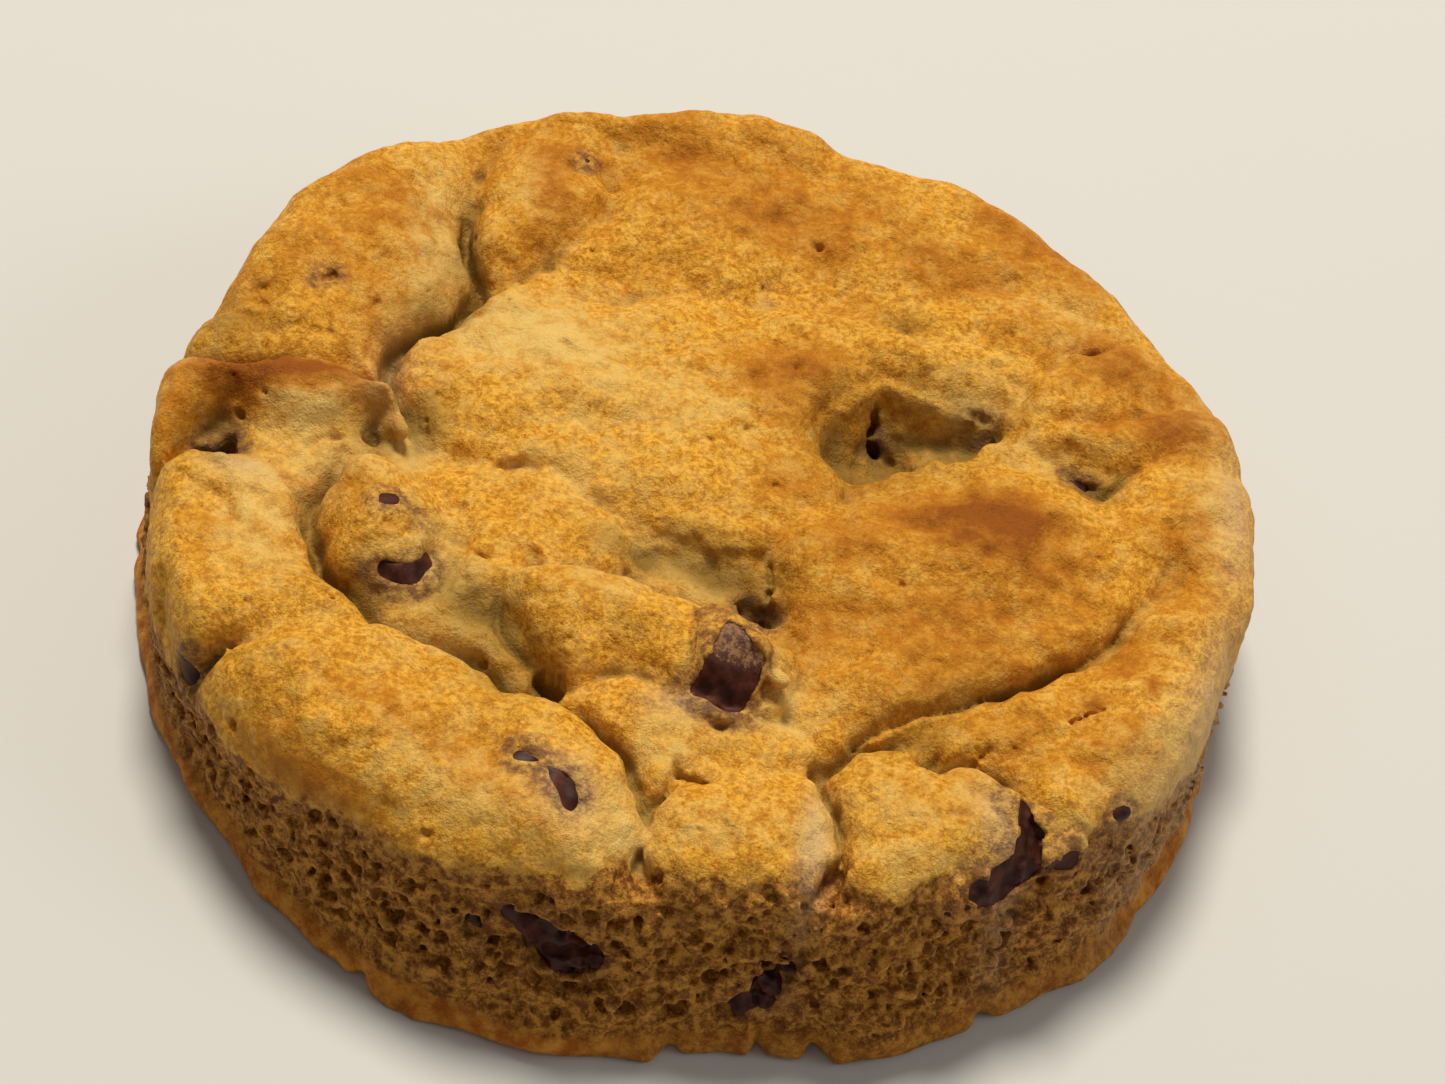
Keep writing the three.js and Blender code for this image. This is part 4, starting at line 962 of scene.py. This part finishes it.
def chocolate_material():
    n = Nodes("dark_chocolate")
    bloom = n.noise(1.6, 3, 0.6)
    speckle = n.plus(n.noise(0.5, 4, 0.75), n.times(n.mask("dust"), 0.13))
    dust = n.times(n.fit(speckle, 0.56, 0.7), n.fit(n.mask("dust"), 0.0, 0.3))
    colour = n.mix(n.fit(bloom, 0.35, 0.7), srgb(46, 18, 10), srgb(90, 44, 30))
    colour = n.mix(n.times(n.mask("dust"), 0.5), colour, srgb(110, 76, 62))
    colour = n.mix(n.times(dust, 0.75), colour, srgb(160, 120, 76))
    n.shade("Base Color", colour)
    rough = n.plus(n.fit(bloom, 0.3, 0.7, 0.42, 0.6), n.times(dust, 0.3))
    n.shade("Roughness", rough)
    n.shade("Specular IOR Level", 0.18)
    n.shade("Normal", n.bump(n.noise(1.1, 3, 0.5), 0.15, 0.6))
    return n.material


# ---------------------------------------------------------------- pieces
def add_object(name, data):
    thing = bpy.data.objects.new(name, data)
    bpy.context.scene.collection.objects.link(thing)
    return thing


def new_piece(name, mesh, material):
    piece = add_object(name, mesh)
    mesh.materials.append(material)
    mesh.polygons.foreach_set("use_smooth", np.ones(len(mesh.polygons), bool))
    return piece


def mesh_points(mesh):
    """Vertices of a mesh in the model's millimetres."""
    co = np.empty(len(mesh.vertices) * 3, np.float32)
    mesh.vertices.foreach_get("co", co)
    return (co.reshape(-1, 3) - np.array(SHIFT, np.float32)) / MM


def set_mesh_points(mesh, points):
    mesh.vertices.foreach_set("co", (points * MM + np.array(SHIFT)).astype(np.float32).ravel())
    mesh.update()


def modified(mesh, *steps):
    """A copy of a mesh after some modifiers, each given as its type and settings."""
    holder = add_object("holder", mesh)
    for kind, settings in steps:
        modifier = holder.modifiers.new(kind, kind)
        for key, value in settings.items():
            setattr(modifier, key, value)
    graph = bpy.context.evaluated_depsgraph_get()
    graph.update()
    result = bpy.data.meshes.new_from_object(holder.evaluated_get(graph))
    bpy.data.objects.remove(holder)
    return result


def make_dough(field, nearest, material):
    mesh, points = surface_mesh(field.value, (0, 0, 0), "dough_skin")
    add_masks(mesh, dough_masks(field, nearest, points))
    piece = new_piece("dough_skin", mesh, material)
    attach(piece, "root")
    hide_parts("dough")


def make_chip(name, distance, block, material):
    mesh, points = surface_mesh(distance, [b.start for b in block], name + "_chocolate")
    dust = np.zeros(len(points))
    if name in DUSTED_BEYOND:
        start, end = DUSTED_BEYOND[name]
        dust = smoothstep(start, end, points[:, 1])
    add_masks(mesh, {"dust": dust})
    piece = new_piece(name + "_chocolate", mesh, material)
    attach(piece, "root")
    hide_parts(name)


# ---------------------------------------------------------------- stage, light and camera
FLOOR_HALF = 3.0                    # half length of the floor, in metres
WORLD_STRENGTH = 0.2


def make_floor():
    mesh = bpy.data.meshes.new("floor")
    h = FLOOR_HALF
    mesh.from_pydata([(-h, -h, 0), (h, -h, 0), (h, h, 0), (-h, h, 0)], [], [(0, 1, 2, 3)])
    floor = add_object("floor", mesh)
    n = Nodes("pale_floor")
    n.shade("Base Color", srgb(206, 203, 197))
    n.shade("Roughness", 0.75)
    mesh.materials.append(n.material)
    floor.location = (0, 0, -0.02 * MM)


def make_light(name, azimuth, elevation, distance, size, power, colour):
    """A round studio light aimed at the cookie: its angles in degrees, its measures in metres."""
    data = bpy.data.lights.new(name, "AREA")
    data.shape = "DISK"
    data.size = size
    data.energy = power
    data.color = colour
    lamp = add_object(name, data)
    a, e = math.radians(azimuth), math.radians(elevation)
    place = Vector((math.cos(a) * math.cos(e), math.sin(a) * math.cos(e), math.sin(e))) * distance
    lamp.location = place
    lamp.rotation_euler = place.to_track_quat("Z", "Y").to_euler()


def make_world():
    world = bpy.data.worlds.new("studio")
    world.use_nodes = True
    back = world.node_tree.nodes["Background"]
    back.inputs["Color"].default_value = (1.0, 0.97, 0.92, 1.0)
    back.inputs["Strength"].default_value = WORLD_STRENGTH
    bpy.context.scene.world = world


# The camera looks along +Y and down, from a little right of the middle, rolled slightly.
ELEVATION = 48.3
DISTANCE = 297.5
TARGET = (2.71, 2.25, 10.0)
ROLL = 8.5
LENS = 79.72


def make_camera():
    e, r = math.radians(ELEVATION), math.radians(ROLL)
    right = Vector((1, 0, 0))
    up = Vector((0, math.sin(e), math.cos(e)))
    back = Vector((0, -math.cos(e), math.sin(e)))
    across = right * math.cos(r) + up * math.sin(r)
    along = up * math.cos(r) - right * math.sin(r)
    data = bpy.data.cameras.new("camera")
    data.lens = LENS
    data.sensor_width = 36.0
    data.clip_start = 0.01
    camera = add_object("camera", data)
    place = Vector(TARGET) * MM + back * DISTANCE * MM + SHIFT
    camera.matrix_world = Matrix.Translation(place) @ Matrix((across, along, back)).transposed().to_4x4()
    bpy.context.scene.camera = camera


make_camera()
dough_field = build_field()
chips, nearest_chip = embed_chips(dough_field)
make_dough(dough_field, nearest_chip, dough_material())
chocolate = chocolate_material()
for chip, (chip_values, chip_block) in chips.items():
    make_chip(chip, chip_values, chip_block, chocolate)
make_floor()
make_world()
make_light("key", azimuth=100, elevation=66, distance=1.4, size=0.42, power=20.4, colour=(1.0, 0.95, 0.85))
make_light("fill", azimuth=-5, elevation=30, distance=1.0, size=0.6, power=1.7, colour=(0.94, 0.97, 1.0))
bpy.context.scene.view_settings.view_transform = "Standard"
